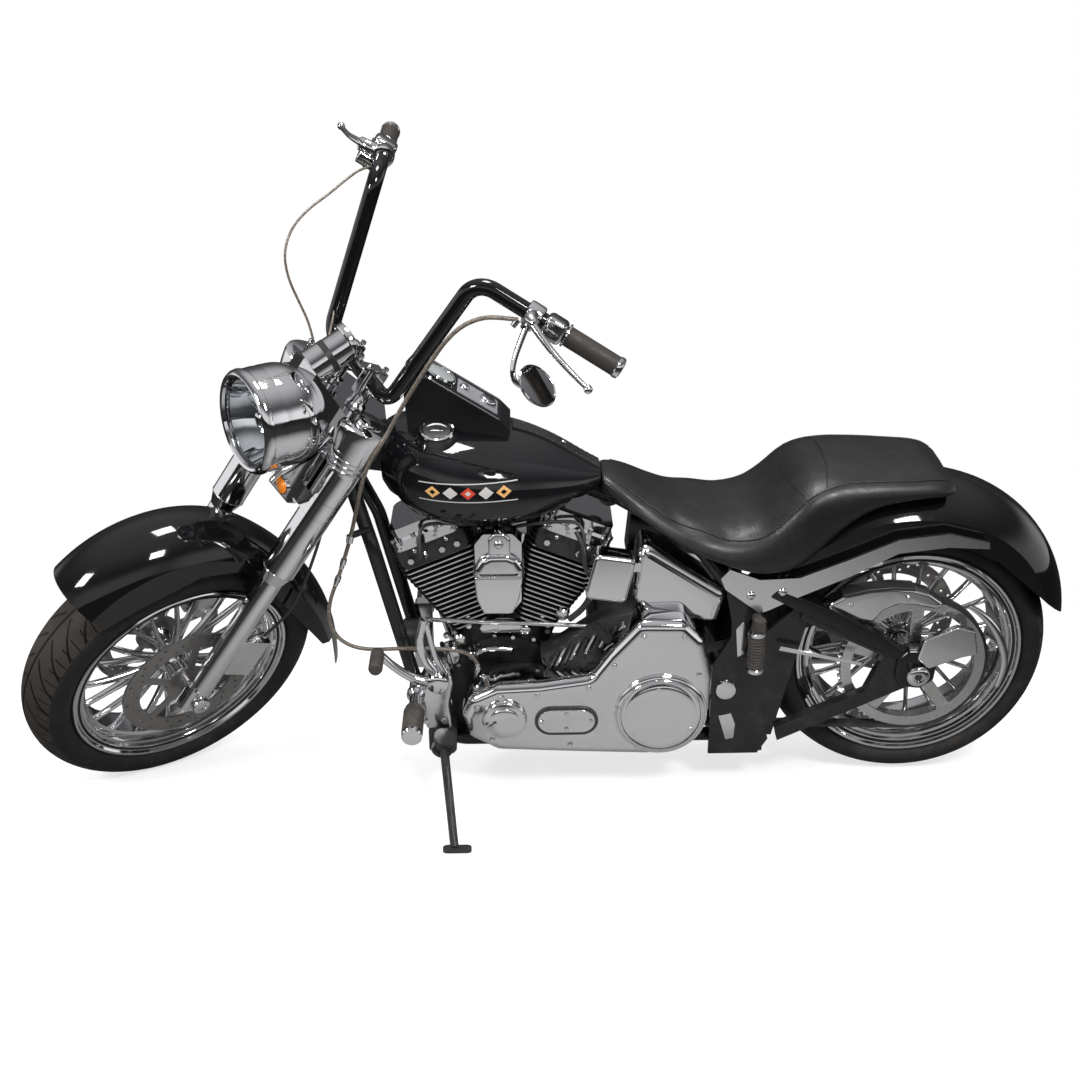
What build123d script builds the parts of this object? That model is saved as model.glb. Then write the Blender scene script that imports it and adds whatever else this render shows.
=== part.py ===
"""Chopper motorcycle: a long, low cruiser with tall bars, parked on its side stand.

Every piece is laid out on the upright bike (X forward, Y left, Z up, origin on the ground under the rear axle) and is
then put down as the bike parks: leaned to its left, nose level on both tyres. Pieces of the front end are laid out on
the steering axis (x ahead of it, y left, z up along it) and turned to the left steering stop.
"""
from build123d import *
import os
from math import asin, atan2, cos, degrees, pi, radians, sin, sqrt, tan

# ----------------------------------------------------------------------------------------------------------------------
# Driving dimensions: millimetres and degrees
# ----------------------------------------------------------------------------------------------------------------------
WHEELBASE = 1630.0
RAKE = 34.0                  # steering axis from the vertical
TRAIL = 129.0                # steering axis at the ground, ahead of the front axle
PARK_LEAN = 12.0             # to the left, on the side stand
STEER_REST = 40.0            # to the left, on the steering stop

FIT = 0.3                    # gap left between two pieces that seat on each other
RUN = 0.05                   # radial clearance of a bearing

# Wheels
REAR_AXLE_Z = 312.0
FRONT_AXLE_Z = 328.0
REAR_TYRE_R, REAR_TYRE_HALF, REAR_CROWN_R = 314.0, 90.0, 136.0
FRONT_TYRE_R, FRONT_TYRE_HALF, FRONT_CROWN_R = 328.0, 70.0, 78.0
BEAD_R = 228.0               # 18 inch rims
LIP_R = 246.0
REAR_RIM_HALF = 82.0
FRONT_RIM_HALF = 60.0
LIP_T = 5.0
AXLE_R = 12.5
SPOKES = 10
DISC_R = 146.0
DISC_T = 5.0
DISC_BAND = 38.0             # width of the swept ring
DISC_HOLE_R = 3.6

# Belt drive
REAR_PULLEY_R, FRONT_PULLEY_R = 156.0, 71.0
BELT_Y = 97.0                # inner edge of the belt
BELT_W = 24.0
BELT_T = 7.0
GEARBOX_SHAFT = (552.0, 246.0)

# Engine
CRANK = (885.0, 240.0)       # x, z
V_HALF = 22.5                # each cylinder from the vertical
DECK = 178.0                 # crank to cylinder base, along the cylinder
HEAD_TOP = 398.0
ROCKER_TOP = 446.0
CASE_HALF = 62.0
FIN_PITCH = 11.5
FIN_T = 4.5
FIN_Y = 78.0                 # fins' half width across the bike

# Frame
TUBE_R = 15.0
RAIL_Y, RAIL_Z = 85.0, 118.0
PIVOT = (407.0, 271.0)       # swingarm pivot
PLATE_IN, PLATE_OUT = 134.0, 143.0
HEAD_LOW, HEAD_HIGH, HEAD_R = 905.0, 1054.0, 27.0
STEM_R = 15.0

# Fork, along the steering axis
LEG_AHEAD, LEG_Y = 74.0, 119.0
EAR_AHEAD, EAR_Y = 84.0, 112.0           # centre of the upper cover's flared top
AXLE_AHEAD, AXLE_UP = 76.4, 344.0
SLIDER_R, FORK_TUBE_R, COVER_R = 25.5, 20.5, 36.0
SLIDER_TOP = 682.0
COVER_LOW = 712.0
YOKE_T = 34.0                # upper yoke's thickness
YOKE_EAR_R = 48.0            # upper yoke round each fork tube
LEG_TOP = HEAD_HIGH + YOKE_T + 8

BAR_R = 15.9

COS_R, SIN_R = cos(radians(RAKE)), sin(radians(RAKE))
STEER_X = WHEELBASE + TRAIL


# ----------------------------------------------------------------------------------------------------------------------
# Shapes used again and again
# ----------------------------------------------------------------------------------------------------------------------
def side_plane(y):
    """Sketch plane across the bike at y, with x forward and z up."""
    return Plane(origin=(0, y, 0), x_dir=(1, 0, 0), z_dir=(0, -1, 0))


def slab(outline, y_low, y_high, corner=0.0):
    """A plate with a side-view outline of (x, z) points, from one y to another."""
    sketch = make_face(Polyline(*outline, close=True))
    if corner:
        sketch = fillet(sketch.vertices(), corner)
    return extrude(side_plane(y_high) * sketch, amount=y_high - y_low, dir=(0, -1, 0))


def disc(centre, radius, y_low, y_high, end_radius=None):
    """A disc or cone across the bike: centre is (x, z)."""
    solid = turned(radius, y_high - y_low, end_radius)
    return Pos(centre[0], y_low, centre[1]) * Rot(X=-90) * solid


def turned(radius, length, end_radius=None):
    """A cylinder, or a cone, standing on its origin along z."""
    low = (Align.CENTER, Align.CENTER, Align.MIN)
    if end_radius is None:
        return Cylinder(radius, length, align=low)
    return Cone(radius, end_radius, length, align=low)


def rod(start, end, radius, end_radius=None):
    """A straight round bar, or a tapered one, between two points."""
    run = Vector(*end) - Vector(*start)
    return Plane(origin=start, z_dir=run) * turned(radius, run.length, end_radius)


def pipe(points, radius, bends):
    """A round tube along straight runs joined by arcs."""
    path = FilletPolyline(*points, radius=bends)
    return sweep(Plane(origin=path @ 0, z_dir=path % 0) * Circle(radius), path=path)


def block(low, high, corner=0.0):
    """A box between two corners, its upright edges rounded."""
    size = [b - a for a, b in zip(low, high)]
    middle = [(a + b) / 2 for a, b in zip(low, high)]
    solid = Box(*size)
    if corner:
        solid = fillet(solid.edges().filter_by(Axis.Z), corner)
    return Pos(*middle) * solid


def both(shape):
    """The shape and its twin on the other side of the bike."""
    return shape + mirror(shape, Plane.XZ)


def ring(points):
    """A wheel piece turned about its axle from a section of (radius, y) points."""
    return revolve(make_face(Polyline(*points, close=True)), Axis.Y)


# ----------------------------------------------------------------------------------------------------------------------
# Wheels, modelled about the axle with the wheel's centre at the origin
# ----------------------------------------------------------------------------------------------------------------------
def tyre(radius, half, crown, rim_half):
    """A tyre: round crown, bulged sidewalls, flat beads between the rim's lips."""
    bead_y = rim_half - LIP_T - FIT
    reach = asin(0.87 * half / crown)
    shoulder = (radius - crown + crown * cos(reach), crown * sin(reach))
    lip = (LIP_R + 3, bead_y)
    bulge = (LIP_R + 0.33 * (radius - LIP_R), half)
    bead = (BEAD_R + FIT, bead_y)
    left = [ThreePointArc(shoulder, bulge, lip), Line(lip, bead)]
    edges = [ThreePointArc((shoulder[0], -shoulder[1]), (radius, 0), shoulder)] + left
    edges += [Line(bead, (bead[0], -bead[1]))]
    edges += [mirror(edge, Plane.XZ) for edge in left]
    return revolve(make_face(edges), Axis.Y)


def spoke_sketch(hub_r, rim_r):
    """One forked spoke: a stem from the hub that splits into two arms."""
    split_r = hub_r + 0.30 * (rim_r - hub_r)
    stem = Polyline((hub_r - 8, -11), (split_r + 12, -9), (split_r + 12, 9), (hub_r - 8, 11), close=True)
    sketch = make_face(stem)
    for side in (1, -1):
        tip_y = side * 32
        arm = Polyline((split_r, side * 1), (rim_r + 6, tip_y - side * 6), (rim_r + 6, tip_y + side * 6),
                       (split_r, side * 10), close=True)
        sketch += make_face(arm)
    return sketch


def wheel(rim_half, hub_half, hub_r=36.0, spoke_half=11.0):
    """A rim with a deep stepped lip, ten forked spokes and a hub bored for the axle."""
    well_r = BEAD_R - 22
    lip = [(LIP_R, rim_half), (LIP_R, rim_half - LIP_T), (BEAD_R, rim_half - LIP_T)]
    dish = [(LIP_R - 7, rim_half), (BEAD_R - 4, rim_half - 12), (BEAD_R - 12, rim_half - 14), (well_r, rim_half - 34)]
    outline = lip + [(r, -y) for r, y in reversed(lip)] + [(r, -y) for r, y in dish] + list(reversed(dish))
    rim = ring(outline)
    spoke = spoke_sketch(hub_r, well_r)
    star = Sketch() + [Rot(Z=360 * i / SPOKES) * spoke for i in range(SPOKES)]
    spokes = extrude(side_plane(spoke_half) * star, amount=2 * spoke_half, dir=(0, -1, 0))
    hub = disc((0, 0), hub_r, -hub_half, hub_half)
    return rim + spokes + hub - disc((0, 0), AXLE_R + RUN, -hub_half - 1, hub_half + 1)


def brake_disc(y_low, carrier_r, bore_r):
    """A drilled brake disc on a five-armed carrier."""
    y_high = y_low + DISC_T
    inner = DISC_R - DISC_BAND
    band = Circle(DISC_R) - Circle(inner)
    for row in range(3):
        for i in range(15):
            hole_r = inner + DISC_BAND * (0.22 + 0.28 * row)
            band -= Rot(Z=24 * i + 8 * row) * Pos(hole_r, 0) * Circle(DISC_HOLE_R)
    arms = Sketch()
    for i in range(5):
        arms += Rot(Z=72 * i) * Pos((inner + carrier_r) / 2, 0) * Rectangle(inner + 6 - carrier_r, 16)
    disc_plate = extrude(side_plane(y_high) * band, amount=DISC_T, dir=(0, -1, 0))
    carrier = extrude(side_plane(y_high) * (arms + Circle(carrier_r + 4)), amount=DISC_T, dir=(0, -1, 0))
    return disc_plate + carrier - disc((0, 0), bore_r, y_low - 1, y_high + 1)


# ----------------------------------------------------------------------------------------------------------------------
# Cables and hoses: radius, then the points of each route; the arcs are as large as the runs allow
# ----------------------------------------------------------------------------------------------------------------------
CLUTCH_R = 4.5
CHASSIS_CABLES = [
    ("clutch, lower", CLUTCH_R, [(1100.3, 178.6, 894.2), (1115, 186, 873), (1135, 182, 843), (1153, 169, 802),
                                 (1167, 151, 751), (1179, 133, 703), (1190, 118, 659), (1201, 108, 620),
                                 (1213, 106, 583), (1229, 107, 537), (1248, 109, 492), (1256, 111, 446),
                                 (1243, 114, 401), (1208, 118, 376), (1162, 120, 370), (1112, 121, 373),
                                 (1062, 119, 371), (1014, 113, 366), (974, 106, 354), (950, 101, 337), (941.7, 100, 314.2)]),
]
CLUTCH_GLAND = (941.0, 100.0, 286.0, 312.0)      # x, y, low and high, on the primary's nose
CLUTCH_CLIP = ((1190, 118, 659), (1201, 108, 620))      # the run of the cable that the downtube's clip holds
FORK_CABLES = [
    ("clutch, upper", 4.5, [(68, 264, 1457.3), (97, 250, 1446), (117, 233, 1428), (129, 214, 1392), (128, 201, 1346),
                            (118, 191, 1292), (107, 181, 1230), (94, 173, 1166), (79, 166, 1112)]),
    ("throttle", 2.6, [(60, -272, 1459.6), (98, -262, 1452), (137, -242, 1424), (180, -216, 1390), (226, -192, 1358), (258, -170, 1318),
                       (264, -146, 1274), (242, -124, 1236), (206, -104, 1204), (168, -84, 1172), (146, -70, 1140)]),
    ("front brake hose", 3.5, [(2, 60, 863.2), (-8, 74, 822), (-12, 92, 776), (-21, 99, 729), (-34, 101, 681),
                               (-46, 100, 633), (-52, 99, 584), (-44, 97, 536), (-31, 95, 503.5)]),
]


def arc_radii(points):
    """The largest arc at each inner point of a route, from the shorter of its two runs."""
    radii = []
    for before, here, after in zip(points, points[1:], points[2:]):
        run_in, run_out = Vector(*here) - Vector(*before), Vector(*after) - Vector(*here)
        turn = radians(run_in.get_angle(run_out))
        radii.append(0.45 * min(run_in.length, run_out.length) / tan(turn / 2))
    return radii


def cables(table):
    """One round tube for each row of a table, with its smallest arc printed."""
    tubes = []
    for name, radius, points in table:
        radii = arc_radii(points)
        tube = pipe(points, radius, radii)
        length = tube.volume / (pi * radius ** 2)
        print(f"{name}: {length:.0f} mm long, arcs {', '.join(f'{r:.0f}' for r in radii)}")
        tubes.append(tube)
    return tubes


# ----------------------------------------------------------------------------------------------------------------------
# Frame and swingarm
# ----------------------------------------------------------------------------------------------------------------------
def fork_point(ahead, y, up):
    """A point of the straight-ahead fork, given on the steering axis, in the upright bike."""
    return (STEER_X - SIN_R * up + COS_R * ahead, y, COS_R * up + SIN_R * ahead)


def frame_piece():
    """Head tube, backbone, downtubes and rails, side plates, seat rails, fender struts and cross-members."""
    head = Pos(STEER_X, 0, 0) * Rot(Y=-RAKE) * Pos(0, 0, HEAD_LOW) * turned(HEAD_R, HEAD_HIGH - HEAD_LOW)
    bore = Pos(STEER_X, 0, 0) * Rot(Y=-RAKE) * Pos(0, 0, HEAD_LOW - 1) * turned(STEM_R + RUN, HEAD_HIGH - HEAD_LOW + 2)
    backbone = pipe([fork_point(-5, 0, 985), (1040, 0, 775), (760, 0, 722), (652, 0, 676)], 22, 70)
    gusset = slab([(1196, 812), (1090, 780), (1120, 735), fork_point(-18, 0, 918)[::2]], -6, 6)
    downtube = pipe([fork_point(-8, 16, 955), (1155, RAIL_Y, 600), (1085, RAIL_Y, 290), (1022, RAIL_Y, RAIL_Z),
                     (380, RAIL_Y, RAIL_Z)], TUBE_R, [90, 300, 80])
    plate = slab([(438, 104), (330, 104), (308, 141), (345, 285), (364, 386), (366, 520), (404, 520), (400, 400),
                  (438, 330)], PLATE_IN, PLATE_OUT)
    strut = slab([(425, 556), (349, 531), (266, 534), (165, 575), (66, 619), (-36, 631), (-108, 611), (-110, 602),
                  (-38, 612), (64, 602), (163, 549), (263, 503), (328, 466), (366, 440), (402, 440)], 129, PLATE_OUT)
    rail = pipe([(412, 127, 520), (470, 112, 592), (585, 50, 652), (655, 4, 676)], 13, [40, 60])
    sides = both(downtube + plate + strut + rail)
    cross = [block((318, -PLATE_IN, 104), (432, PLATE_IN, 132)),
             block((840, -RAIL_Y, 104), (930, RAIL_Y, 114.7)),
             block((520, -RAIL_Y, 104), (640, RAIL_Y, 149.7)),
             rod((386, -136, 505), (386, 136, 505), 11),
             rod((1049, -RAIL_Y, 200), (1049, RAIL_Y, 200), 13),
             rod((655, -14, 676), (655, 14, 676), 24)]
    hold_low, hold_high = (Vector(*point) for point in CLUTCH_CLIP)
    hold = (hold_low + hold_high) / 2
    clip = rod((1161, 84, hold.Z), tuple(hold), 7) - rod(hold_low, hold_high, CLUTCH_R + FIT)
    for x_low, x_high in ((880, 920), (1005, 1035)):
        cross.append(block((x_low, -12, tunnel_roof(x_low) - 26), (x_high, 12, tunnel_roof(x_low) - FIT)))
    solid = head + backbone + gusset + sides + clip
    for piece in cross:
        solid += piece
    return solid - bore


def swingarm_piece():
    """A triangle of an upper and a lower arm each side, on a tube through the pivot."""
    front = slab([(256, 474), (232, 462), (300, 145), (325, 147), (440, 262), (430, 300)], 125, PLATE_IN - FIT)
    upper = slab([(250, 482), (-6, 346), (-6, 310), (256, 442)], 123, 146)
    lower = slab([(296, 172), (20, 300), (4, 276), (288, 138)], 123, 146)
    end = disc((0, REAR_AXLE_Z), 36, 123, 146) + slab([(-28, 334), (60, 380), (110, 250), (0, 276)], 123, 146)
    side = front + upper + lower + end
    tube = disc(PIVOT, 20, -PLATE_IN + FIT, PLATE_IN - FIT)
    return both(side) + tube - disc((0, REAR_AXLE_Z), AXLE_R + RUN, -150, 150)


# ----------------------------------------------------------------------------------------------------------------------
# Engine and gearbox
# ----------------------------------------------------------------------------------------------------------------------
def on_cylinder(angle, shape):
    """A shape laid out along a cylinder (z from the crank), set at its angle from the vertical."""
    return Pos(CRANK[0], 0, CRANK[1]) * Rot(Y=angle) * shape


def crankcase_piece():
    case = disc(CRANK, 125, -CASE_HALF, CASE_HALF)
    case += block((900, -CASE_HALF, 115.0), (1004, CASE_HALF, 200))
    case += block((705, -CASE_HALF, 150), (800, CASE_HALF, 300))
    for angle in (V_HALF, -V_HALF):
        case += on_cylinder(angle, Pos(0, 0, 60) * turned(60, DECK - 60))
    return case


def cylinder_piece(angle):
    """A finned barrel and head; the fins grow wider towards the head."""
    solid = Pos(0, 0, DECK) * turned(56, HEAD_TOP - DECK)
    count = int((HEAD_TOP - DECK - FIN_T) / FIN_PITCH) + 1
    for i in range(count):
        low = DECK + i * FIN_PITCH
        half = min(88.0, 46.0 + (low - DECK) * 0.26)
        fin = extrude(RectangleRounded(2 * half, 2 * FIN_Y, 20), amount=FIN_T)
        solid += Pos(0, 0, low) * fin
    return on_cylinder(angle, solid)


def rocker_piece(angle):
    """A rocker box in two steps; the lower one reaches over the pushrod tubes on the right."""
    low = Pos(0, -9, 0) * extrude(RectangleRounded(158, 182, 22), amount=22)
    high = extrude(RectangleRounded(140, 146, 20), amount=ROCKER_TOP - HEAD_TOP - 22)
    return on_cylinder(angle, Pos(0, 0, HEAD_TOP + FIT) * (low + Pos(0, 0, 22) * high))


PRIMARY_OUTLINE = [(977, 246), (964, 190), (900, 153), (745, 144), (571, 136), (482, 178), (444, 250), (444, 330),
                   (462, 420), (505, 466), (600, 468), (664, 390), (700, 338), (810, 322), (900, 318), (958, 290)]


def primary_piece():
    """The primary drive's case: a bulge over the clutch, a nose over the crank."""
    case = slab(PRIMARY_OUTLINE, 125, 186, corner=18)
    nose = slab([(964, 200), (890, 162), (760, 162), (760, 300), (900, 300), (955, 280)], CASE_HALF + FIT, 126)
    cup = disc((552, 246), 98, 186, 200)
    bump = disc(CRANK, 47, 186, 204)
    pad = slab([(830, 188), (675, 188), (675, 278), (830, 278)], 186, 192, corner=20)
    x, y, low, high = CLUTCH_GLAND
    gland = Pos(x, y, low - 8) * turned(9, high - low + 8)
    return case + nose + cup + bump + pad + gland


def primary_caps_piece():
    derby = disc(GEARBOX_SHAFT, 85, 200 + FIT, 212)
    cap = disc(CRANK, 40, 204 + FIT, 216)
    cover = slab([(827, 192), (679, 192), (679, 274), (827, 274)], 192 + FIT, 199, corner=30)
    return [derby, cap, cover]


def gearbox_piece():
    body = block((470, -92, 150), (700, 92, 400), corner=25)
    shaft = disc(GEARBOX_SHAFT, 24, 92, 125 - FIT)
    lever = disc((665, 412), 9, 60, 163) + slab([(658, 408), (672, 404), (698, 438), (690, 450), (681, 446)], 157, 165)
    return body + shaft + block((490, -70, 400), (680, 70, 424), corner=20) + lever


def front_pulley_piece():
    wheel_ = disc(GEARBOX_SHAFT, FRONT_PULLEY_R, BELT_Y - 2, BELT_Y + BELT_W + 2)
    return wheel_ - disc(GEARBOX_SHAFT, 24 + FIT, 80, 130)


def belt_piece():
    rear = (0.0, REAR_AXLE_Z)

    def loop(extra):
        circles = Pos(*rear) * Circle(REAR_PULLEY_R + extra) + Pos(*GEARBOX_SHAFT) * Circle(FRONT_PULLEY_R + extra)
        return make_hull(circles.edges())

    band = loop(FIT + BELT_T) - loop(FIT)
    return extrude(side_plane(BELT_Y + BELT_W) * band, amount=BELT_W, dir=(0, -1, 0))


TAPPET_TOP = 376.0


def cam_cover_piece():
    """The cam cover on the right, with its two tappet blocks."""
    cover = slab([(985, 250), (950, 160), (800, 150), (770, 250), (800, 330), (885, 365), (970, 330)],
                 -100, -CASE_HALF - FIT, corner=25)
    return cover + block((888, -103, 320), (942, -80, TAPPET_TOP)) + block((828, -103, 320), (882, -80, TAPPET_TOP))


def pushrod_piece():
    """Four pushrod tubes from the tappet blocks to the rocker boxes."""
    tubes = []
    for angle, foot in ((V_HALF, 44), (V_HALF, 14), (-V_HALF, -14), (-V_HALF, -44)):
        start = (CRANK[0] + foot, -91, TAPPET_TOP - 20)
        top = on_cylinder(angle, Pos(foot * 0.6, -90, HEAD_TOP + 20)).position
        tube = rod(start, tuple(top), 8) - block((700, -140, 300), (1100, -40, TAPPET_TOP + FIT))
        tubes.append(tube - on_cylinder(angle, Pos(0, -90, HEAD_TOP + 50) * Box(300, 200, 100)))
    return tubes


def air_cleaner_piece():
    """The round air cleaner, the carburettor behind it and the manifold between the two heads."""
    body = disc((885, 545), 88, -190, -142) + disc((885, 545), 30, -143, -111)
    body += block((858, -112, 515), (912, -30, 575))
    manifold = block((830, -31, 535), (940, 31, 598))
    for angle in (V_HALF, -V_HALF):
        manifold -= on_cylinder(angle, Pos(0, 0, 300) * Box(2 * (88 + FIT), 200, 300))
    return body + manifold


def exhaust_piece():
    """Two header pipes on the right, each into its muffler."""
    front = pipe([(1076, -78.5, 540), (1076, -128, 540), (1050, -152, 430), (1000, -154, 240), (920, -168, 172),
                  (640, -186, 172)], 20, [24, 60, 70, 60])
    front += rod((640, -186, 172), (610, -188, 172), 20, 40) + rod((610, -188, 172), (-120, -196, 172), 40)
    rear = pipe([(690, -78.5, 540), (690, -128, 540), (676, -160, 430), (640, -184, 306), (560, -190, 258),
                 (500, -190, 258)], 20, [24, 60, 60, 60])
    rear += rod((500, -190, 258), (470, -190, 256), 20, 40) + rod((470, -190, 256), (80, -196, 256), 40)
    return [front, rear]


OIL_TANK_HALF = 138.0


def oil_tank_piece():
    outline = [(600, 626), (412, 500), (434, 430), (579, 458), (613, 490)]
    tank = slab(outline, -OIL_TANK_HALF, OIL_TANK_HALF, corner=10)
    slot = block((380, -42, 380), (560, 42, 640))
    return tank - slot - block((430, 120, 400), (660, 150, 474))


def coil_cover_piece():
    """The cover ahead of the oil tank, with the tab that lies on the tank's side."""
    cover = slab([(691, 613), (607, 600), (630, 500), (715, 513)], 122, 165, corner=12)
    return cover + slab([(590, 560), (640, 560), (640, 580), (590, 580)], OIL_TANK_HALF + FIT, 142)


def horn_cover_piece():
    return slab([(862, 656), (922, 656), (940, 632), (938, 520), (915, 476), (868, 470), (845, 500), (843, 635)],
                104, 150, corner=9) + disc((885, 543), 12, 31 + FIT, 105)


# ----------------------------------------------------------------------------------------------------------------------
# Tank, seat and fenders
# ----------------------------------------------------------------------------------------------------------------------
# x, half width, bottom half width, bottom z, z of the widest point, shoulder z, top z
TANK_SECTIONS = [
    (1128, 78, 52, 738, 780, 816, 838),
    (1076, 122, 90, 690, 766, 832, 860),
    (980, 160, 120, 664, 752, 822, 856),
    (860, 152, 118, 664, 742, 800, 838),
    (750, 105, 80, 686, 735, 766, 790),
    (676, 44, 34, 712, 726, 738, 748),
]


def tank_section(row):
    x, half, foot, low, middle, shoulder, top = row
    edge = 0.72 * half
    side = [ThreePointArc((foot, low), (half, middle), (edge, shoulder)),
            ThreePointArc((-edge, shoulder), (-half, middle), (-foot, low))]
    outline = [Line((-foot, low), (foot, low)), side[0],
               ThreePointArc((edge, shoulder), (0, top), (-edge, shoulder)), side[1]]
    return Plane(origin=(x, 0, 0), x_dir=(0, 1, 0), z_dir=(1, 0, 0)) * make_face(outline)


TUNNEL_HALF = 28.0
TUNNEL_ROOF = [(1200, 848), (1040, 806), (760, 756), (660, 712)]


def tunnel_roof(x):
    """Height of the roof of the tank's tunnel at x."""
    for (x_high, z_high), (x_low, z_low) in zip(TUNNEL_ROOF, TUNNEL_ROOF[1:]):
        if x >= x_low:
            return z_low + (z_high - z_low) * (x - x_low) / (x_high - x_low)


def tank_shell():
    return loft([tank_section(row) for row in TANK_SECTIONS])


def tank_piece():
    shell = tank_shell()
    tunnel = slab([(1200, 640)] + TUNNEL_ROOF + [(640, 640)], -TUNNEL_HALF, TUNNEL_HALF)
    bay = slab([(1200, 600), (1200, 724), (1000, 716), (760, 712), (700, 700), (640, 600)], -94, 94)
    return shell - tunnel - bay


def dash_piece():
    """The console on the tank's centre line."""
    outline = [(1078, 955), (1062, 972), (1020, 957), (883, 868), (862, 845), (870, 815), (1070, 840)]
    return slab(outline, -60, 60, corner=6) - tank_shell()


# x, half width, side z, top z
SEAT_SECTIONS = [
    (676, 46, 716, 738),
    (590, 110, 672, 708),
    (500, 165, 625, 683),
    (400, 184, 605, 673),
    (306, 178, 640, 708),
    (250, 160, 690, 752),
    (46, 140, 700, 742),
    (-62, 118, 684, 704),
]


def seat_section(row):
    x, half, side, top = row
    low = 500
    outline = [Line((-half, low), (half, low)), Line((half, low), (half, side)),
               ThreePointArc((half, side), (0, top), (-half, side)), Line((-half, side), (-half, low))]
    return Plane(origin=(x, 0, 0), x_dir=(0, 1, 0), z_dir=(1, 0, 0)) * make_face(outline)


def fender_section(half, drop, crown_drop, inner=0.0):
    """A fender's section: sides straight down, a round crown; y across, z up, the crown's top at the origin."""
    side = half - inner
    outline = [ThreePointArc((side, -crown_drop), (0, -inner), (-side, -crown_drop)),
               Line((-side, -crown_drop), (-side, -drop)), Line((-side, -drop), (side, -drop)),
               Line((side, -drop), (side, -crown_drop))]
    return make_face(outline)


def fender(path, half, crown_drop, drop, skin):
    """A fender's shell, swept along its crown line."""
    start = Plane(origin=path @ 0, x_dir=(0, 1, 0), z_dir=path % 0)
    if start.y_dir.Z < 0:
        start = Plane(origin=path @ 0, x_dir=(0, -1, 0), z_dir=path % 0)
    outer = fender_section(half, drop, crown_drop)
    solid = sweep(start * outer, path=path)
    if not skin:
        return solid
    inner = fender_section(half, drop + 5, crown_drop + skin * 0.6, skin)
    return solid - sweep(start * inner, path=path)


FENDER_HALF, FENDER_SKIN = 125.0, 4.0


def around(centre, radius, angle):
    """A point (x, z) on a circle about an axle, at an angle up from dead ahead."""
    return centre[0] + radius * cos(radians(angle)), centre[1] + radius * sin(radians(angle))


REAR_FENDER_GAPS = [(110.0, 37.8), (100.4, 70.25), (89.3, 105.8), (39.6, 165.3)]     # over the tyre, at an angle


def rear_fender_path():
    """The crown line: an arc from the front over the top, and a tighter one down the back."""
    points = [around((0, REAR_AXLE_Z), REAR_TYRE_R + gap, angle) for gap, angle in REAR_FENDER_GAPS]
    front, top, back, tail = [(x, 0, z) for x, z in points]
    first = ThreePointArc(front, top, back)
    return Wire([first, TangentArc([first @ 1, tail], tangent=first % 1)])


def rear_fender_piece():
    shell = fender(rear_fender_path(), FENDER_HALF, 60, 260, FENDER_SKIN)
    keep = slab([(301, 503), (200, 561), (99, 600), (-46, 606), (-156, 560), (-253, 476), (-335, 400), (-480, 380),
                 (-480, 820), (420, 820), (420, 540), (340, 500)], -130, 130)
    return shell & keep


SEAT_GAP = 2.2               # the seat's hollow over the fender's crown


def seat_piece():
    """The two-up seat: crowned on top, hollow over the fender and its rails."""
    outline = [(676, 765), (676, 712), (654, 705), (579, 651), (473, 597), (412, 574), (349, 549), (262, 553),
               (224, 590), (167, 655), (69, 704), (-12, 708), (-62, 712), (-62, 840), (676, 840)]
    body = loft([seat_section(row) for row in SEAT_SECTIONS]) & slab(outline, -200, 200)
    body -= slab([(700, 480), (700, 714), (640, 712), (570, 676), (470, 636), (330, 636), (330, 480)], -149, 149)
    crown = rear_fender_path().edges()[0]
    hollow = [(point.X, point.Z + SEAT_GAP) for point in [crown @ (i / 10) for i in range(11)]]
    return body - slab([(340, 480), (340, hollow[0][1])] + hollow + [(hollow[-1][0] - 60, 600), (-180, 480)],
                       -FENDER_HALF - 2, FENDER_HALF + 2)


def strap_piece():
    band = Pos(0, 0, 4) * tank_shell() & block((678, -24, 700), (858, 24, 900))
    return band - tank_shell()


def strut_cover_piece():
    outline = [(412, 566), (349, 541), (266, 544), (165, 585), (66, 629), (-36, 641), (-121, 619), (-123, 605),
               (-38, 610), (64, 598), (163, 545), (263, 500), (328, 468), (345, 462), (420, 520), (430, 545)]
    cover = slab(outline, PLATE_OUT + FIT, PLATE_OUT + 8)
    return both(cover)


# ----------------------------------------------------------------------------------------------------------------------
# Rear wheel's fittings
# ----------------------------------------------------------------------------------------------------------------------
def rear_pulley():
    y_low, y_high = BELT_Y - 2, BELT_Y + BELT_W
    solid = disc((0, 0), REAR_PULLEY_R, y_low, y_high) - disc((0, 0), 134, y_low - 1, y_high + 1)
    arms = Sketch()
    for i in range(5):
        arms += Rot(Z=72 * i + 18) * Pos(88, 0) * Rectangle(104, 26)
    solid += extrude(side_plane(y_high - 4) * (arms + Circle(48)), amount=10, dir=(0, -1, 0))
    solid += disc((0, 0), 40, 88 + FIT, y_high)
    return solid - disc((0, 0), AXLE_R + RUN, 60, 140)


def rear_axle_piece():
    centre = (0, REAR_AXLE_Z)
    shaft = disc(centre, AXLE_R, -164, 164)
    spacer = disc(centre, 20, BELT_Y + BELT_W + FIT, 123 - FIT) + disc(centre, 20, -123 + FIT, -103 - FIT)
    caps = disc(centre, 24, 146 + FIT, 172) + disc(centre, 24, -168, -146 - FIT)
    return shaft + spacer + caps


PLATE_Y = (150.0, 154.0)
PLATE_HOLES = [(-92.0, 430.0), (-70.0, 366.0)]
PLATE_HOLE_R = 3.3
JACK_PAD = (375.0, 0.0, 104.0)


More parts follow.
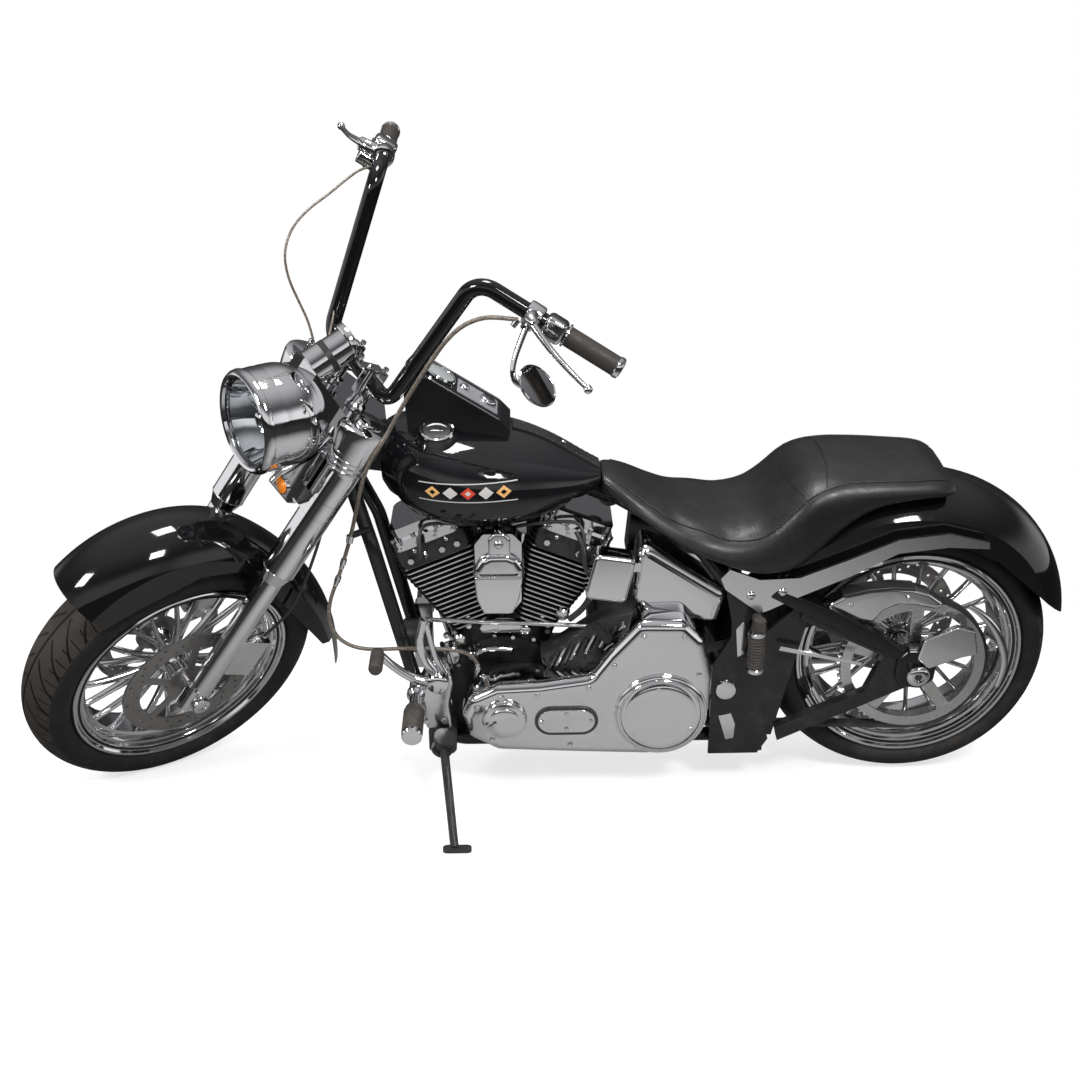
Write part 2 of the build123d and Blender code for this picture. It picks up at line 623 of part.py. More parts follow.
def plate_bracket_piece():
    arm = slab([(10, 350), (-20, 282), (-125, 372), (-138, 460), (-100, 470)], *PLATE_Y)
    arm -= disc((0, REAR_AXLE_Z), 24 + FIT, 140, 160)
    for hole in PLATE_HOLES:
        arm -= disc(hole, PLATE_HOLE_R, 140, 160)
    bar = pipe([(-93, 160, 485), (-150, 160, 420), (-172, 160, 340), (-162, 160, 268)], 6, 60)
    return [arm, bar]


def rear_caliper_piece():
    body = block((60, -119, 352), (150, -84, 440), corner=14)
    slot = disc((0, REAR_AXLE_Z), DISC_R + 3, -103 - 1, -98 + 1)
    return body - slot


def belt_guard_piece():
    """A shield over the belt's rear run: a side plate and a top lip that reaches in over the belt."""
    side = slab([(186, 448.7), (192, 496), (60, 508), (20, 504), (-66, 490), (-66, 478), (30, 470), (60, 382)], 124, 130)
    lip = slab([(188, 492), (60, 504), (-62, 487), (-62, 483), (60, 500), (188, 488)], 98, 127)
    return side + lip


# ----------------------------------------------------------------------------------------------------------------------
# Controls, pegs and side stand
# ----------------------------------------------------------------------------------------------------------------------
PEG = (1075.0, 276.0)


def left_control_piece():
    bracket = slab([(1005, 190), (1068, 190), (1075, 300), (1050, 352), (1005, 352), (995, 300)], 101, 150, corner=8)
    hub = disc((1023, 340), 22, 150, 214)
    arm = slab([(1030, 325), (1150, 405), (1146, 425), (1012, 355)], 196, 208)
    toe = disc((1145, 414), 12, 208, 276)
    rocker = slab([(1012, 345), (1034, 345), (1058, 476), (1040, 484)], 182, 194)
    peg_base = disc(PEG, 14, 150, 216)
    peg = disc(PEG, 19, 216, 312)
    link = slab([(1060, 262), (1090, 262), (1090, 290), (1060, 290)], 140, 160)
    return bracket + hub + arm + toe + rocker + peg_base + peg + link


SHIFT_ROD = [(1049, 476), (690, 441)]     # its two eyes, x and z


def shift_rod_piece():
    """The link from the foot control's rocker to the gearbox lever, with an eye at each end."""
    (x_front, z_front), (x_rear, z_rear) = SHIFT_ROD
    link = rod((x_front, 174, z_front), (x_rear, 174, z_rear), 5)
    return link + disc(SHIFT_ROD[0], 9, 168, 182 - FIT) + disc(SHIFT_ROD[1], 8, 165 + FIT, 181)


def right_control_piece():
    bracket = slab([(1050, 190), (1092, 190), (1098, 300), (1088, 360), (1050, 360)], -128, -100 - FIT, corner=8)
    reach = disc((1068, 340), 14, -250, -120)
    pedal = slab([(1070, 326), (1140, 400), (1136, 420), (1056, 352)], -262, -250)
    pad = block((1120, -300, 410), (1165, -245, 428), corner=8)
    peg = disc(PEG, 19, -318, -222) + disc(PEG, 14, -222, -120)
    return bracket + reach + pedal + pad + peg


def pillion_peg_piece():
    peg = rod((352, 176, 345), (352, 176, 428), 17) + disc((348, 448), 12, PLATE_OUT + FIT, 190)
    peg += slab([(336, 425), (366, 425), (360, 460), (336, 460)], 166, 186)
    return both(peg)


def stand_bracket_piece():
    arm = slab([(1000, 120), (1052, 130), (1052, 186), (990, 186), (992, 130)], 101, 150, corner=6)
    fork_eye = Pos(0, 0, -21.6) * turned(24, 8) + Pos(0, 0, 13.6) * turned(24, 8) + Pos(0, 0, -20) * turned(STAND_PIN_R, 40)
    cheek = Plane(origin=STAND_PIVOT, z_dir=STAND_AXIS) * fork_eye
    web = block((996, 140, 140), (1044, 151, 190))
    return arm + cheek + web


STAND_PIVOT = (1019.0, 176.0, 166.0)
STAND_FOOT_XY = (987.0, 476.0)          # on the ground, ahead of and left of the rear axle's foot
STAND_FOOT_T = 8.0
STAND_AXIS = (-0.194, 0.267, 0.914)     # the leg swings back about it
STAND_FOLD = 70.0
STAND_LEG_R, STAND_ANKLE_R = 9.8, 8.6
STAND_PIN_R = 7.0


def side_stand_piece(pose):
    """The leg, its eye, and its foot flat on the ground in the parked pose."""
    pivot = Plane(origin=STAND_PIVOT, z_dir=STAND_AXIS)
    eye = pivot * Pos(0, 0, -13 + FIT) * turned(18, 26 - 2 * FIT)
    foot = block((-34, -12, 0), (24, 12, STAND_FOOT_T), corner=10)
    ground = pose.inverse() * Pos(STAND_FOOT_XY[0], STAND_FOOT_XY[1], 0)
    ankle = (ground * Pos(0, 0, STAND_FOOT_T / 2)).position
    leg = eye + rod(STAND_PIVOT, tuple(ankle), STAND_LEG_R, STAND_ANKLE_R) - pivot * Pos(0, 0, -20) * turned(STAND_PIN_R + RUN, 40)
    return leg - ground * block((-60, -60, -40), (60, 60, 0)) + ground * foot


# ----------------------------------------------------------------------------------------------------------------------
# Front end, laid out on the steering axis: x ahead of it, y left, z up along it
# ----------------------------------------------------------------------------------------------------------------------
def yokes_piece():
    """Upper and lower yokes on the steering stem."""
    def yoke(low, high, ahead, out, radius):
        ears = Pos(ahead, out) * Circle(radius) + Pos(ahead, -out) * Circle(radius)
        return Pos(0, 0, low) * extrude(make_hull((Circle(36) + ears).edges()), amount=high - low)
    solid = yoke(HEAD_LOW - 40, HEAD_LOW - FIT, LEG_AHEAD, LEG_Y, COVER_R)
    solid += yoke(HEAD_HIGH + FIT, HEAD_HIGH + YOKE_T, EAR_AHEAD, EAR_Y, YOKE_EAR_R)
    solid += Pos(0, 0, HEAD_LOW - 38) * turned(STEM_R, HEAD_HIGH - HEAD_LOW + 38 + YOKE_T)
    for y in (LEG_Y, -LEG_Y):
        solid -= Pos(LEG_AHEAD, y, HEAD_LOW - 60) * turned(FORK_TUBE_R + FIT, 300)
    return solid - lamp_bowl()


def fork_legs_piece():
    """A slider and its tube on each side; the slider's foot clamps the axle."""
    leg = Pos(0, 0, AXLE_UP - 12) * turned(SLIDER_R, SLIDER_TOP - AXLE_UP + 12)
    leg += Pos(0, 0, SLIDER_TOP) * turned(SLIDER_R, COVER_LOW - SLIDER_TOP - FIT, COVER_R)
    leg += Pos(0, 0, SLIDER_TOP - 30) * turned(FORK_TUBE_R, LEG_TOP - SLIDER_TOP + 30)
    leg += block((-28, -20, AXLE_UP - 28), (32, 20, AXLE_UP + 26), corner=12)
    leg = Pos(LEG_AHEAD, LEG_Y, 0) * leg
    leg -= Pos(AXLE_AHEAD, 0, AXLE_UP) * disc((0, 0), AXLE_R + RUN, 60, 180)
    return both(leg)


def front_axle_piece():
    centre = (AXLE_AHEAD, AXLE_UP)
    shaft = disc(centre, AXLE_R, -152, 152)
    spacers = disc(centre, 18, 76 + DISC_T + FIT, 94 - FIT) + disc(centre, 18, -94 + FIT, -76 - DISC_T - FIT)
    return shaft + spacers


def caliper_pieces():
    """A brake caliper behind each fork leg, over its disc, and bolted to the slider."""
    body = block((-44, 70, 404), (34, 115, 500), corner=10)
    lug = block((30, 84, 424), (LEG_AHEAD - 8, LEG_Y - 10, 478)) - Pos(LEG_AHEAD, LEG_Y, 400) * turned(SLIDER_R + FIT, 120)
    slot = disc((AXLE_AHEAD, AXLE_UP), DISC_R + 3, 76 - 1.5, 76 + DISC_T + 1.5)
    return both(body + lug - slot)


def fork_covers_piece():
    """Covers round the tubes: straight below the lower yoke, flared forward to the upper yoke above it."""
    tube = Pos(LEG_AHEAD, LEG_Y, SLIDER_TOP) * turned(FORK_TUBE_R + FIT, 500)
    lower = Pos(LEG_AHEAD, LEG_Y, COVER_LOW) * turned(COVER_R, HEAD_LOW - 40 - FIT - COVER_LOW)
    waist = HEAD_LOW + 70
    upper = Pos(LEG_AHEAD, LEG_Y, HEAD_LOW + FIT) * turned(COVER_R, waist - HEAD_LOW - FIT)
    upper += loft([Pos(LEG_AHEAD, LEG_Y, waist) * Circle(COVER_R),
                   Pos(EAR_AHEAD, EAR_Y, HEAD_HIGH - FIT) * Circle(YOKE_EAR_R)])
    return both(lower - tube) + both(upper - tube)


NACELLE_BACK = EAR_AHEAD + YOKE_EAR_R + FIT      # clear of the upper yoke
NACELLE_FRONT = 188.0
NACELLE_SLOPE = 33.0                             # its top rises towards the front
LIGHT_BAR = ((150.0, 896.0), (168.0, 920.0))     # the turn lights' bar: ahead and up, low and high corners
LIGHT_BAR_Y, LENS_T = 88.0, 22.0


def nacelle_cap_cut():
    """Everything under the cap's sloping top, with the fit between it and the instrument."""
    low = Pos(NACELLE_BACK, 0, HEAD_HIGH + YOKE_T + FIT) * Rot(Y=-NACELLE_SLOPE) * Pos(0, 0, -150)
    return low * Box(600, 400, 300)


def nacelle_piece():
    """The sheet between the fork covers that carries the lamp, the wedge-shaped cap over it and the light bar."""
    body = block((116, -84, 884), (142, 84, HEAD_HIGH - 26), corner=12)
    plan = [(NACELLE_BACK, -104), (NACELLE_BACK, 104), (152, 92), (NACELLE_FRONT, 26), (NACELLE_FRONT, -26), (152, -92)]
    cap = Pos(0, 0, 1058) * extrude(make_face(Polyline(*plan, close=True)), amount=140)
    slope = Pos(NACELLE_BACK, 0, HEAD_HIGH + YOKE_T) * Rot(Y=-NACELLE_SLOPE) * Pos(0, 0, 150) * Box(600, 400, 300)
    neck = block((NACELLE_BACK, -84, 1010), (NACELLE_BACK + 16, 84, 1066))
    (bar_x, bar_low), (bar_end, bar_high) = LIGHT_BAR
    bar = block((bar_x, -LIGHT_BAR_Y, bar_low), (bar_end, LIGHT_BAR_Y, bar_high))
    bar += block((136, -50, bar_low + 2), (bar_x + 4, 50, bar_high - 2))
    return (body + neck + cap + bar) - slope - lamp_bowl()


LAMP = (192.0, 0.0, 1002.0)      # centre of the shell's widest section
LAMP_TILT = 26.0                 # its axis, down from straight ahead of the fork
LAMP_R, LAMP_MID_R, LAMP_BACK_R = 101.0, 105.0, 44.0     # bezel, widest section, back
LAMP_FRONT, LAMP_BACK = 74.0, 88.0                       # along its axis from the widest section
LAMP_CLEAR = 0.5
LENS_EDGE, LENS_RISE = 7.0, 11.0


def lamp_frame():
    """The headlamp's own axis, z forward, with its origin in the widest section."""
    return Pos(*LAMP) * Rot(Y=90 + LAMP_TILT)


def lamp_outline(clear=0.0):
    """The shell's outer line from its back to its widest section, and this much larger."""
    back, middle = -LAMP_BACK - clear, LAMP_MID_R + clear
    return [Line((0, back), (LAMP_BACK_R + clear, back)),
            ThreePointArc((LAMP_BACK_R + clear, back), (middle * 0.84, back * 0.45), (middle, 0))]


def lamp_bowl():
    """The room that the lamp takes in what stands behind it."""
    middle = LAMP_MID_R + LAMP_CLEAR
    room = make_face(lamp_outline(LAMP_CLEAR) + [Line((middle, 0), (middle, LAMP_FRONT)),
                                                 Line((middle, LAMP_FRONT), (0, LAMP_FRONT)),
                                                 Line((0, LAMP_FRONT), (0, -LAMP_BACK - LAMP_CLEAR))])
    return lamp_frame() * revolve(Plane.XZ * room, Axis.Z)


def headlamp_shell_piece():
    """A deep round shell turned about the lamp's axis, with its bezel and a seat for the lens."""
    section = make_face(lamp_outline() + [
        ThreePointArc((LAMP_MID_R, 0), (LAMP_MID_R - 0.5, LAMP_FRONT * 0.5), (LAMP_R, LAMP_FRONT)),
        Line((LAMP_R, LAMP_FRONT), (LAMP_R - 8, LAMP_FRONT)), Line((LAMP_R - 8, LAMP_FRONT), (LAMP_R - 13, LAMP_FRONT - 14)),
        Line((LAMP_R - 13, LAMP_FRONT - 14), (LAMP_R - 18, 4)), Line((LAMP_R - 18, 4), (0, -30)),
        Line((0, -30), (0, -LAMP_BACK))])
    return lamp_frame() * revolve(Plane.XZ * section, Axis.Z)


def headlamp_lens_piece():
    """The lens: a shallow dome in the bezel."""
    low, edge = LAMP_FRONT - 13, LAMP_R - 10.6 - FIT
    dome_r = (edge ** 2 + LENS_RISE ** 2) / (2 * LENS_RISE)
    top = low + LENS_EDGE + LENS_RISE
    section = make_face([Line((0, low), (edge - 3, low)), Line((edge - 3, low), (edge, low + LENS_EDGE)),
                         ThreePointArc((edge, low + LENS_EDGE), (edge / 2, top - dome_r + sqrt(dome_r ** 2 - edge ** 2 / 4)),
                                       (0, top)),
                         Line((0, top), (0, low))])
    return lamp_frame() * revolve(Plane.XZ * section, Axis.Z)


BAR_POINTS = [(74, 118, 1148), (130, 184, 1476), (-60, 421, 1494)]      # left half of the bar
BAR_BENDS = [42, 44]                                                    # radii at its two bends


def bar_path():
    """The bar's centre line: out from the risers, up, then out and back to the grips."""
    whole = [(x, -y, z) for x, y, z in reversed(BAR_POINTS)] + BAR_POINTS
    return FilletPolyline(*whole, radius=BAR_BENDS[::-1] + BAR_BENDS)


def handlebar_piece():
    path = bar_path()
    return sweep(Plane(origin=path @ 0, z_dir=path % 0) * Circle(BAR_R), path=path)


RISER_Y = 46.0
CAN = [(168.0, 1146.0), (129.0, 1202.0)]         # the instrument's axis: base and dial, ahead and up
CAN_R, CAN_RING_R, CAN_RING_T = 34.0, 40.0, 12.0


def can_piece(extra=0.0):
    """The instrument: a round can on the nacelle, tilted to the rider, with a thicker ring at its dial."""
    (base_x, base_z), (dial_x, dial_z) = CAN
    axis = Plane(origin=(base_x, 0, base_z), z_dir=(dial_x - base_x, 0, dial_z - base_z))
    length = sqrt((dial_x - base_x) ** 2 + (dial_z - base_z) ** 2)
    collar = Pos(0, 0, length - CAN_RING_T - extra) * turned(CAN_RING_R + extra, CAN_RING_T + 2 * extra)
    foot = Pos(0, 0, -40) * turned(CAN_R + 2 + extra, 44)
    return axis * (turned(CAN_R + extra, length) + collar + foot)


def riser_piece():
    """Two posts with the bar's clamps, and an arm from each that holds the instrument."""
    foot = HEAD_HIGH + YOKE_T + FIT
    bar_x, bar_z = BAR_POINTS[0][0], BAR_POINTS[0][2]
    posts = both(Pos(bar_x - 2, RISER_Y, foot) * turned(17, 44))
    clamp = both(block((bar_x - 28, RISER_Y - 14, foot + 30), (bar_x + 24, RISER_Y + 14, bar_z + 26), corner=8))
    arms = both(block((bar_x - 14, RISER_Y - 16, bar_z + 26), (bar_x + 48, RISER_Y + 10, bar_z + 31)))
    bar = disc((bar_x, bar_z), BAR_R + FIT, -100, 100)
    return (posts + clamp - bar) + (arms - can_piece(FIT))


def bar_point(share):
    """A point along the outer straight run of the left bar, 0 at its upper bend and 1 at its end."""
    start, end = Vector(*BAR_POINTS[1]), Vector(*BAR_POINTS[2])
    return start + (end - start) * share


def on_bar(share, shape):
    """A shape laid out along the bar's outer run (z outwards), set at a place on the left bar."""
    run = bar_point(1) - bar_point(0)
    return Plane(origin=bar_point(share), x_dir=(0.78, 0.62, 0), z_dir=run) * shape


def grip_piece():
    length = (bar_point(1) - bar_point(0)).length
    sleeve = turned(19.5, 118) - Pos(0, 0, -1) * turned(BAR_R + FIT, 118)
    return both(on_bar(1 - 112 / length, sleeve))


def left_hand_piece():
    """Switch housing, perch and clutch lever on the left bar."""
    length = (bar_point(1) - bar_point(0)).length
    base = 1 - 112 / length
    housing = Pos(0, 0, -46) * (Box(52, 44, 44, align=(Align.CENTER, Align.CENTER, Align.MIN)))
    perch = Pos(14, 0, -92) * Box(60, 40, 42, align=(Align.CENTER, Align.CENTER, Align.MIN))
    lever = pipe([(44, 0, -66), (62, 0, 40), (78, 0, 96)], 6, 60) + Pos(78, 0, 96) * Sphere(9)
    bore = Pos(0, 0, -120) * turned(BAR_R + FIT, 160)
    return on_bar(base, (housing + perch) - bore + lever)


def right_hand_piece():
    return mirror(left_hand_piece(), Plane.XZ)


MIRROR = (42.0, 370.0, 1388.0)
MIRROR_R = 43.0


def mirror_piece():
    """A round mirror hung from the left perch on a bent stem."""
    stem = pipe([(80, 306, 1461), (84, 332, 1392), (66, 352, 1380), (44, 368, 1384)], 5, 12)
    head = Plane(origin=MIRROR, x_dir=(1, 0, -0.18), z_dir=(0.16, 0.45, 0.87)) * Pos(0, 0, -5) * turned(MIRROR_R, 10)
    return stem + head


FRONT_FENDER_GAPS = [(105.2, 169.1), (31.7, 133.2), (55.2, 88.0), (82.3, 25.4)]      # over the tyre, at an angle


def front_fender_path():
    """The crown line: an arc over the top of the wheel, and one down ahead of it."""
    points = [around((AXLE_AHEAD, AXLE_UP), FRONT_TYRE_R + gap, angle) for gap, angle in FRONT_FENDER_GAPS]
    rear, back, top, nose = [(x, 0, z) for x, z in points]
    first = ThreePointArc(rear, back, top)
    return Wire([first, TangentArc([first @ 1, nose], tangent=first % 1)])


FRONT_FENDER_HALF = 86.0


def front_fender_piece():
    """The front fender's shell and the brackets between it and the fork legs."""
    shell = fender(front_fender_path(), FRONT_FENDER_HALF, 44, 240, 3.5)
    keep = slab([(-254, 493), (-226, 479), (-128, 536), (0, 610), (125, 669), (214, 645), (310, 553), (369, 487),
                 (427, 480), (600, 480), (600, 900), (-600, 900), (-600, 420), (-330, 400)], -90, 90)
    bracket = block((LEG_AHEAD - 24, FRONT_FENDER_HALF - 2, 628), (LEG_AHEAD + 24, LEG_Y - 12, SLIDER_TOP - 4))
    bracket -= Pos(LEG_AHEAD, LEG_Y, 600) * turned(SLIDER_R + FIT, 100)
    return (shell & keep) + both(bracket)


def turn_lights_piece():
    """An amber lens on each end of the light bar."""
    (bar_x, bar_low), (bar_end, bar_high) = LIGHT_BAR
    return both(block((bar_x - 2, LIGHT_BAR_Y + FIT, bar_low - 2), (bar_end + 2, LIGHT_BAR_Y + LENS_T, bar_high + 2),
                      corner=5))


# ----------------------------------------------------------------------------------------------------------------------
# Assembly
# ----------------------------------------------------------------------------------------------------------------------
STEERED = Rot(Z=STEER_REST)
FORK = Pos(STEER_X, 0, 0) * Rot(Y=-RAKE)
FRONT_WHEEL = Pos(AXLE_AHEAD, 0, AXLE_UP)
REAR_WHEEL = Pos(0, 0, REAR_AXLE_Z)


def tyre_low(placement, radius, crown):
    """Height of the lowest point of a wheel's round crown, for a placement of the wheel."""
    centre = placement.position
    axle = (placement * Pos(0, 1, 0)).position - centre
    return centre.Z - (radius - crown) * sqrt(1 - axle.Z ** 2) - crown


def parked():
    """Lean to the left, then nose pitch and height that set both tyres on the ground."""
    lean = Rot(X=-PARK_LEAN)
    pitch = 0.0
    for _ in range(4):
        pose = Rot(Y=pitch) * lean
        rear = tyre_low(pose * REAR_WHEEL, REAR_TYRE_R, REAR_CROWN_R)
        front = tyre_low(pose * FORK * STEERED * FRONT_WHEEL, FRONT_TYRE_R, FRONT_CROWN_R)
        pitch += degrees(atan2(front - rear, WHEELBASE))
    return Pos(0, 0, -rear) * Rot(Y=pitch) * lean


def chassis_nodes():
    """The pieces fixed to the frame, upright."""
    return {
        "frame": frame_piece(),
        "swingarm": swingarm_piece(),
        "engine_cases": Compound([crankcase_piece(), gearbox_piece()]),
        "cylinders": cylinder_piece(V_HALF) + cylinder_piece(-V_HALF),
        "rocker_boxes": rocker_piece(V_HALF) + rocker_piece(-V_HALF),
        "cam_cover": Compound([cam_cover_piece()] + pushrod_piece()),
        "air_cleaner": air_cleaner_piece(),
        "exhaust": Compound(exhaust_piece()),
        "engine_covers": Compound([horn_cover_piece(), coil_cover_piece()]),
        "primary_case": Compound([primary_piece()] + primary_caps_piece()),
        "front_pulley": front_pulley_piece(),
        "drive_belt": belt_piece(),
        "belt_guard": belt_guard_piece(),
        "oil_tank": oil_tank_piece(),
        "fuel_tank": tank_piece(),
        "dash": dash_piece(),
        "dash_strap": strap_piece(),
        "seat": seat_piece(),
        "rear_fender": rear_fender_piece(),
        "strut_covers": strut_cover_piece(),
        "rear_axle": rear_axle_piece(),
        "rear_caliper": rear_caliper_piece(),
        "plate_bracket": Compound(plate_bracket_piece()),
        "left_control": Compound([left_control_piece(), shift_rod_piece()]),
        "right_control": right_control_piece(),
        "pillion_pegs": pillion_peg_piece(),
        "stand_bracket": stand_bracket_piece(),
        "chassis_cables": Compound(cables(CHASSIS_CABLES)),
    }


def fork_nodes():
    """The pieces that turn with the steering, on the steering axis."""
    return {
        "yokes": yokes_piece(),
        "fork_legs": fork_legs_piece(),
        "fork_covers": fork_covers_piece(),
        "nacelle": nacelle_piece(),
        "headlamp_shell": headlamp_shell_piece(),
        "headlamp_lens": headlamp_lens_piece(),
        "turn_lights": turn_lights_piece(),
        "front_axle": front_axle_piece(),
        "front_calipers": caliper_pieces(),
        "front_fender": front_fender_piece(),
        "handlebar": handlebar_piece(),
        "risers": riser_piece(),
        "instrument": can_piece() - nacelle_cap_cut(),
        "grips": grip_piece(),
        "hand_controls": left_hand_piece() + mirror_piece() + right_hand_piece(),
        "fork_cables": Compound(cables(FORK_CABLES)),
    }


def wheel_nodes():
    rear = {
        "rear_tyre": tyre(REAR_TYRE_R, REAR_TYRE_HALF, REAR_CROWN_R, REAR_RIM_HALF),
        "rear_wheel": wheel(REAR_RIM_HALF, 88),
        "rear_pulley": rear_pulley(),
        "rear_disc": brake_disc(-103, 44, AXLE_R + RUN),
    }
    front = {
        "front_tyre": tyre(FRONT_TYRE_R, FRONT_TYRE_HALF, FRONT_CROWN_R, FRONT_RIM_HALF),
        "front_wheel": wheel(FRONT_RIM_HALF, 76 - FIT),
        "front_discs": both(brake_disc(76, 44, AXLE_R + RUN)),
    }
    return rear, front


def build():
    """Every node, parked, in millimetres, with the parked pose of the upright bike."""
    pose = parked()
    rear, front = wheel_nodes()
    nodes = {name: pose * shape for name, shape in chassis_nodes().items()}
    nodes |= {name: pose * FORK * STEERED * shape for name, shape in fork_nodes().items()}
    nodes |= {name: pose * REAR_WHEEL * shape for name, shape in rear.items()}
    nodes |= {name: pose * FORK * STEERED * FRONT_WHEEL * shape for name, shape in front.items()}
    nodes["side_stand"] = pose * side_stand_piece(pose)
    return nodes, pose


def centred(nodes):
    """The move that puts the middle of the whole bike's box over the origin, with the ground at z = 0."""
    boxes = [shape.bounding_box() for shape in nodes.values()]
    low = [min(getattr(box.min, axis) for box in boxes) for axis in "XYZ"]
    high = [max(getattr(box.max, axis) for box in boxes) for axis in "XYZ"]
    return Pos(-(low[0] + high[0]) / 2, -(low[1] + high[1]) / 2, -low[2])


def main():
    os.makedirs("parts", exist_ok=True)
    nodes, pose = build()
    home = centred(nodes)
    for name, shape in nodes.items():
        export_step(home * shape, "parts/" + name + ".step")


if __name__ == "__main__":
    main()
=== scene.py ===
"""A long low cruiser motorcycle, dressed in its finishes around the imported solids."""
import logging
from dataclasses import dataclass, field
from enum import Enum
from math import atan2, cos, pi, radians, sin, sqrt
from typing import Iterable, Optional, Sequence

import bmesh
import bpy
from mathutils import Euler, Matrix, Vector
from mathutils.bvhtree import BVHTree


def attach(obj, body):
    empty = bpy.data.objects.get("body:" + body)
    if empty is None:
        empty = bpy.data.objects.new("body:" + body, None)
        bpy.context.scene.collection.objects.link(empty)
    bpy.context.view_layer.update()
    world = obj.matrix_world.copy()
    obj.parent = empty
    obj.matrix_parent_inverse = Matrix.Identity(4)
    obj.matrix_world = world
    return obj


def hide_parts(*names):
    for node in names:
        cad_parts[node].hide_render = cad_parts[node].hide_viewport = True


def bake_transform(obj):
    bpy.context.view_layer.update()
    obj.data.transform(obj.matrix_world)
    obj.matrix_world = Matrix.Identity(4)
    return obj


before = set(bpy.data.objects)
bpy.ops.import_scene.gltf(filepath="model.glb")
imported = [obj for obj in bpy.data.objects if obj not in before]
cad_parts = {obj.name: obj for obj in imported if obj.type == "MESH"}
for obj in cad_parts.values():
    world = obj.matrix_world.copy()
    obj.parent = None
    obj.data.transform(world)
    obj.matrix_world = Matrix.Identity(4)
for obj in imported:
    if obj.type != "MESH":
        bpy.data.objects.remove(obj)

log = logging.getLogger("cruiser")
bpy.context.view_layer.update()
Point = tuple[float, float, float]
MM = 0.001

PRIMARY = ((977, 246), (964, 190), (900, 153), (745, 144), (571, 136), (482, 178), (444, 250), (444, 330), (462, 420), (505, 466), (600, 468), (664, 390), (700, 338), (810, 322), (900, 318), (958, 290))

# Where the parked bike's own frames stand, in metres
RAKE, STEER_REST, STEER_X = 34.0, 40.0, 1.759
AXLE_AHEAD, AXLE_UP, REAR_AXLE_Z = 0.0764, 0.344, 0.312
UPRIGHT = (Matrix.Translation((-0.783632, -0.162513, 0.00493712)) @ Matrix.Rotation(radians(-12.0003), 4, "X")
           @ Matrix.Rotation(radians(0.422459), 4, "Y") @ Matrix.Rotation(radians(0.089798), 4, "Z"))
FORK_FRAME = (UPRIGHT @ Matrix.Translation((STEER_X, 0, 0)) @ Matrix.Rotation(radians(-RAKE), 4, "Y")
              @ Matrix.Rotation(radians(STEER_REST), 4, "Z"))


class Body(Enum):
    """A moving body and the frame that its own sizes are laid out in."""

    CHASSIS = ("chassis", UPRIGHT)
    FORK = ("fork", FORK_FRAME)
    REAR_WHEEL = ("rear_wheel_set", UPRIGHT @ Matrix.Translation((0, 0, REAR_AXLE_Z)))
    FRONT_WHEEL = ("front_wheel_set", FORK_FRAME @ Matrix.Translation((AXLE_AHEAD, 0, AXLE_UP)))
    STAND = ("stand", UPRIGHT)

    @property
    def body(self) -> str:
        """The body's name in the record."""
        return self.value[0]

    @property
    def place(self) -> Matrix:
        """The frame's place on the parked bike."""
        return self.value[1]


def mm(points: Iterable[Sequence[float]]) -> list[Vector]:
    """Points given in millimetres, in metres."""
    return [Vector(point) * MM for point in points]


# ----------------------------------------------------------------------------------------------------------------------
# Shader work
# ----------------------------------------------------------------------------------------------------------------------
class Tree:
    """A short way to write a node tree."""

    def __init__(self, tree: bpy.types.NodeTree) -> None:
        """Keeps the tree that the nodes go in."""
        self.tree = tree

    def add(self, kind: str, inputs: Optional[dict] = None, **settings: object) -> bpy.types.Node:
        """Adds a node.

        Args:
            kind: the node's type, such as "ShaderNodeMath".
            inputs: socket name or index, and the value or the socket that feeds it.
            settings: the node's own properties.

        Returns:
            The node.
        """
        node = self.tree.nodes.new(kind)
        for name, value in settings.items():
            setattr(node, name, value)
        for name, value in (inputs or {}).items():
            socket = node.inputs[name]
            if isinstance(value, bpy.types.NodeSocket):
                self.tree.links.new(value, socket)
            else:
                socket.default_value = value
        return node

    def math(self, operation: str, *values: object) -> bpy.types.NodeSocket:
        """A Math node's result from up to three values or sockets."""
        return self.add("ShaderNodeMath", dict(enumerate(values)), operation=operation).outputs[0]

    def ramp(self, value: object, low: float, high: float) -> bpy.types.NodeSocket:
        """0 below low, 1 above high, smooth between."""
        node = self.add("ShaderNodeMapRange", {0: value, 1: low, 2: high}, interpolation_type="SMOOTHSTEP")
        return node.outputs[0]

    def mix(self, factor: object, first: object, second: object) -> bpy.types.NodeSocket:
        """One colour turning into another."""
        node = self.tree.nodes.new("ShaderNodeMix")
        node.data_type = "RGBA"
        for index, value in ((0, factor), (6, first), (7, second)):
            if isinstance(value, bpy.types.NodeSocket):
                self.tree.links.new(value, node.inputs[index])
            else:
                node.inputs[index].default_value = (*value, 1) if index else value
        return node.outputs[2]


def node_group(name: str, inputs: dict[str, float], outputs: Sequence[str]) -> tuple[Tree, bpy.types.Node, bpy.types.Node]:
    """An empty shader group with named sockets.

    Args:
        name: the group's name.
        inputs: each input's name and default.
        outputs: each output's name.

    Returns:
        Its tree, its input node and its output node.
    """
    group = bpy.data.node_groups.new(name, "ShaderNodeTree")
    for label, value in inputs.items():
        socket = group.interface.new_socket(label, in_out="INPUT", socket_type="NodeSocketFloat")
        socket.default_value = value
    for label in outputs:
        group.interface.new_socket(label, in_out="OUTPUT", socket_type="NodeSocketFloat")
    tree = Tree(group)
    return tree, tree.add("NodeGroupInput"), tree.add("NodeGroupOutput")


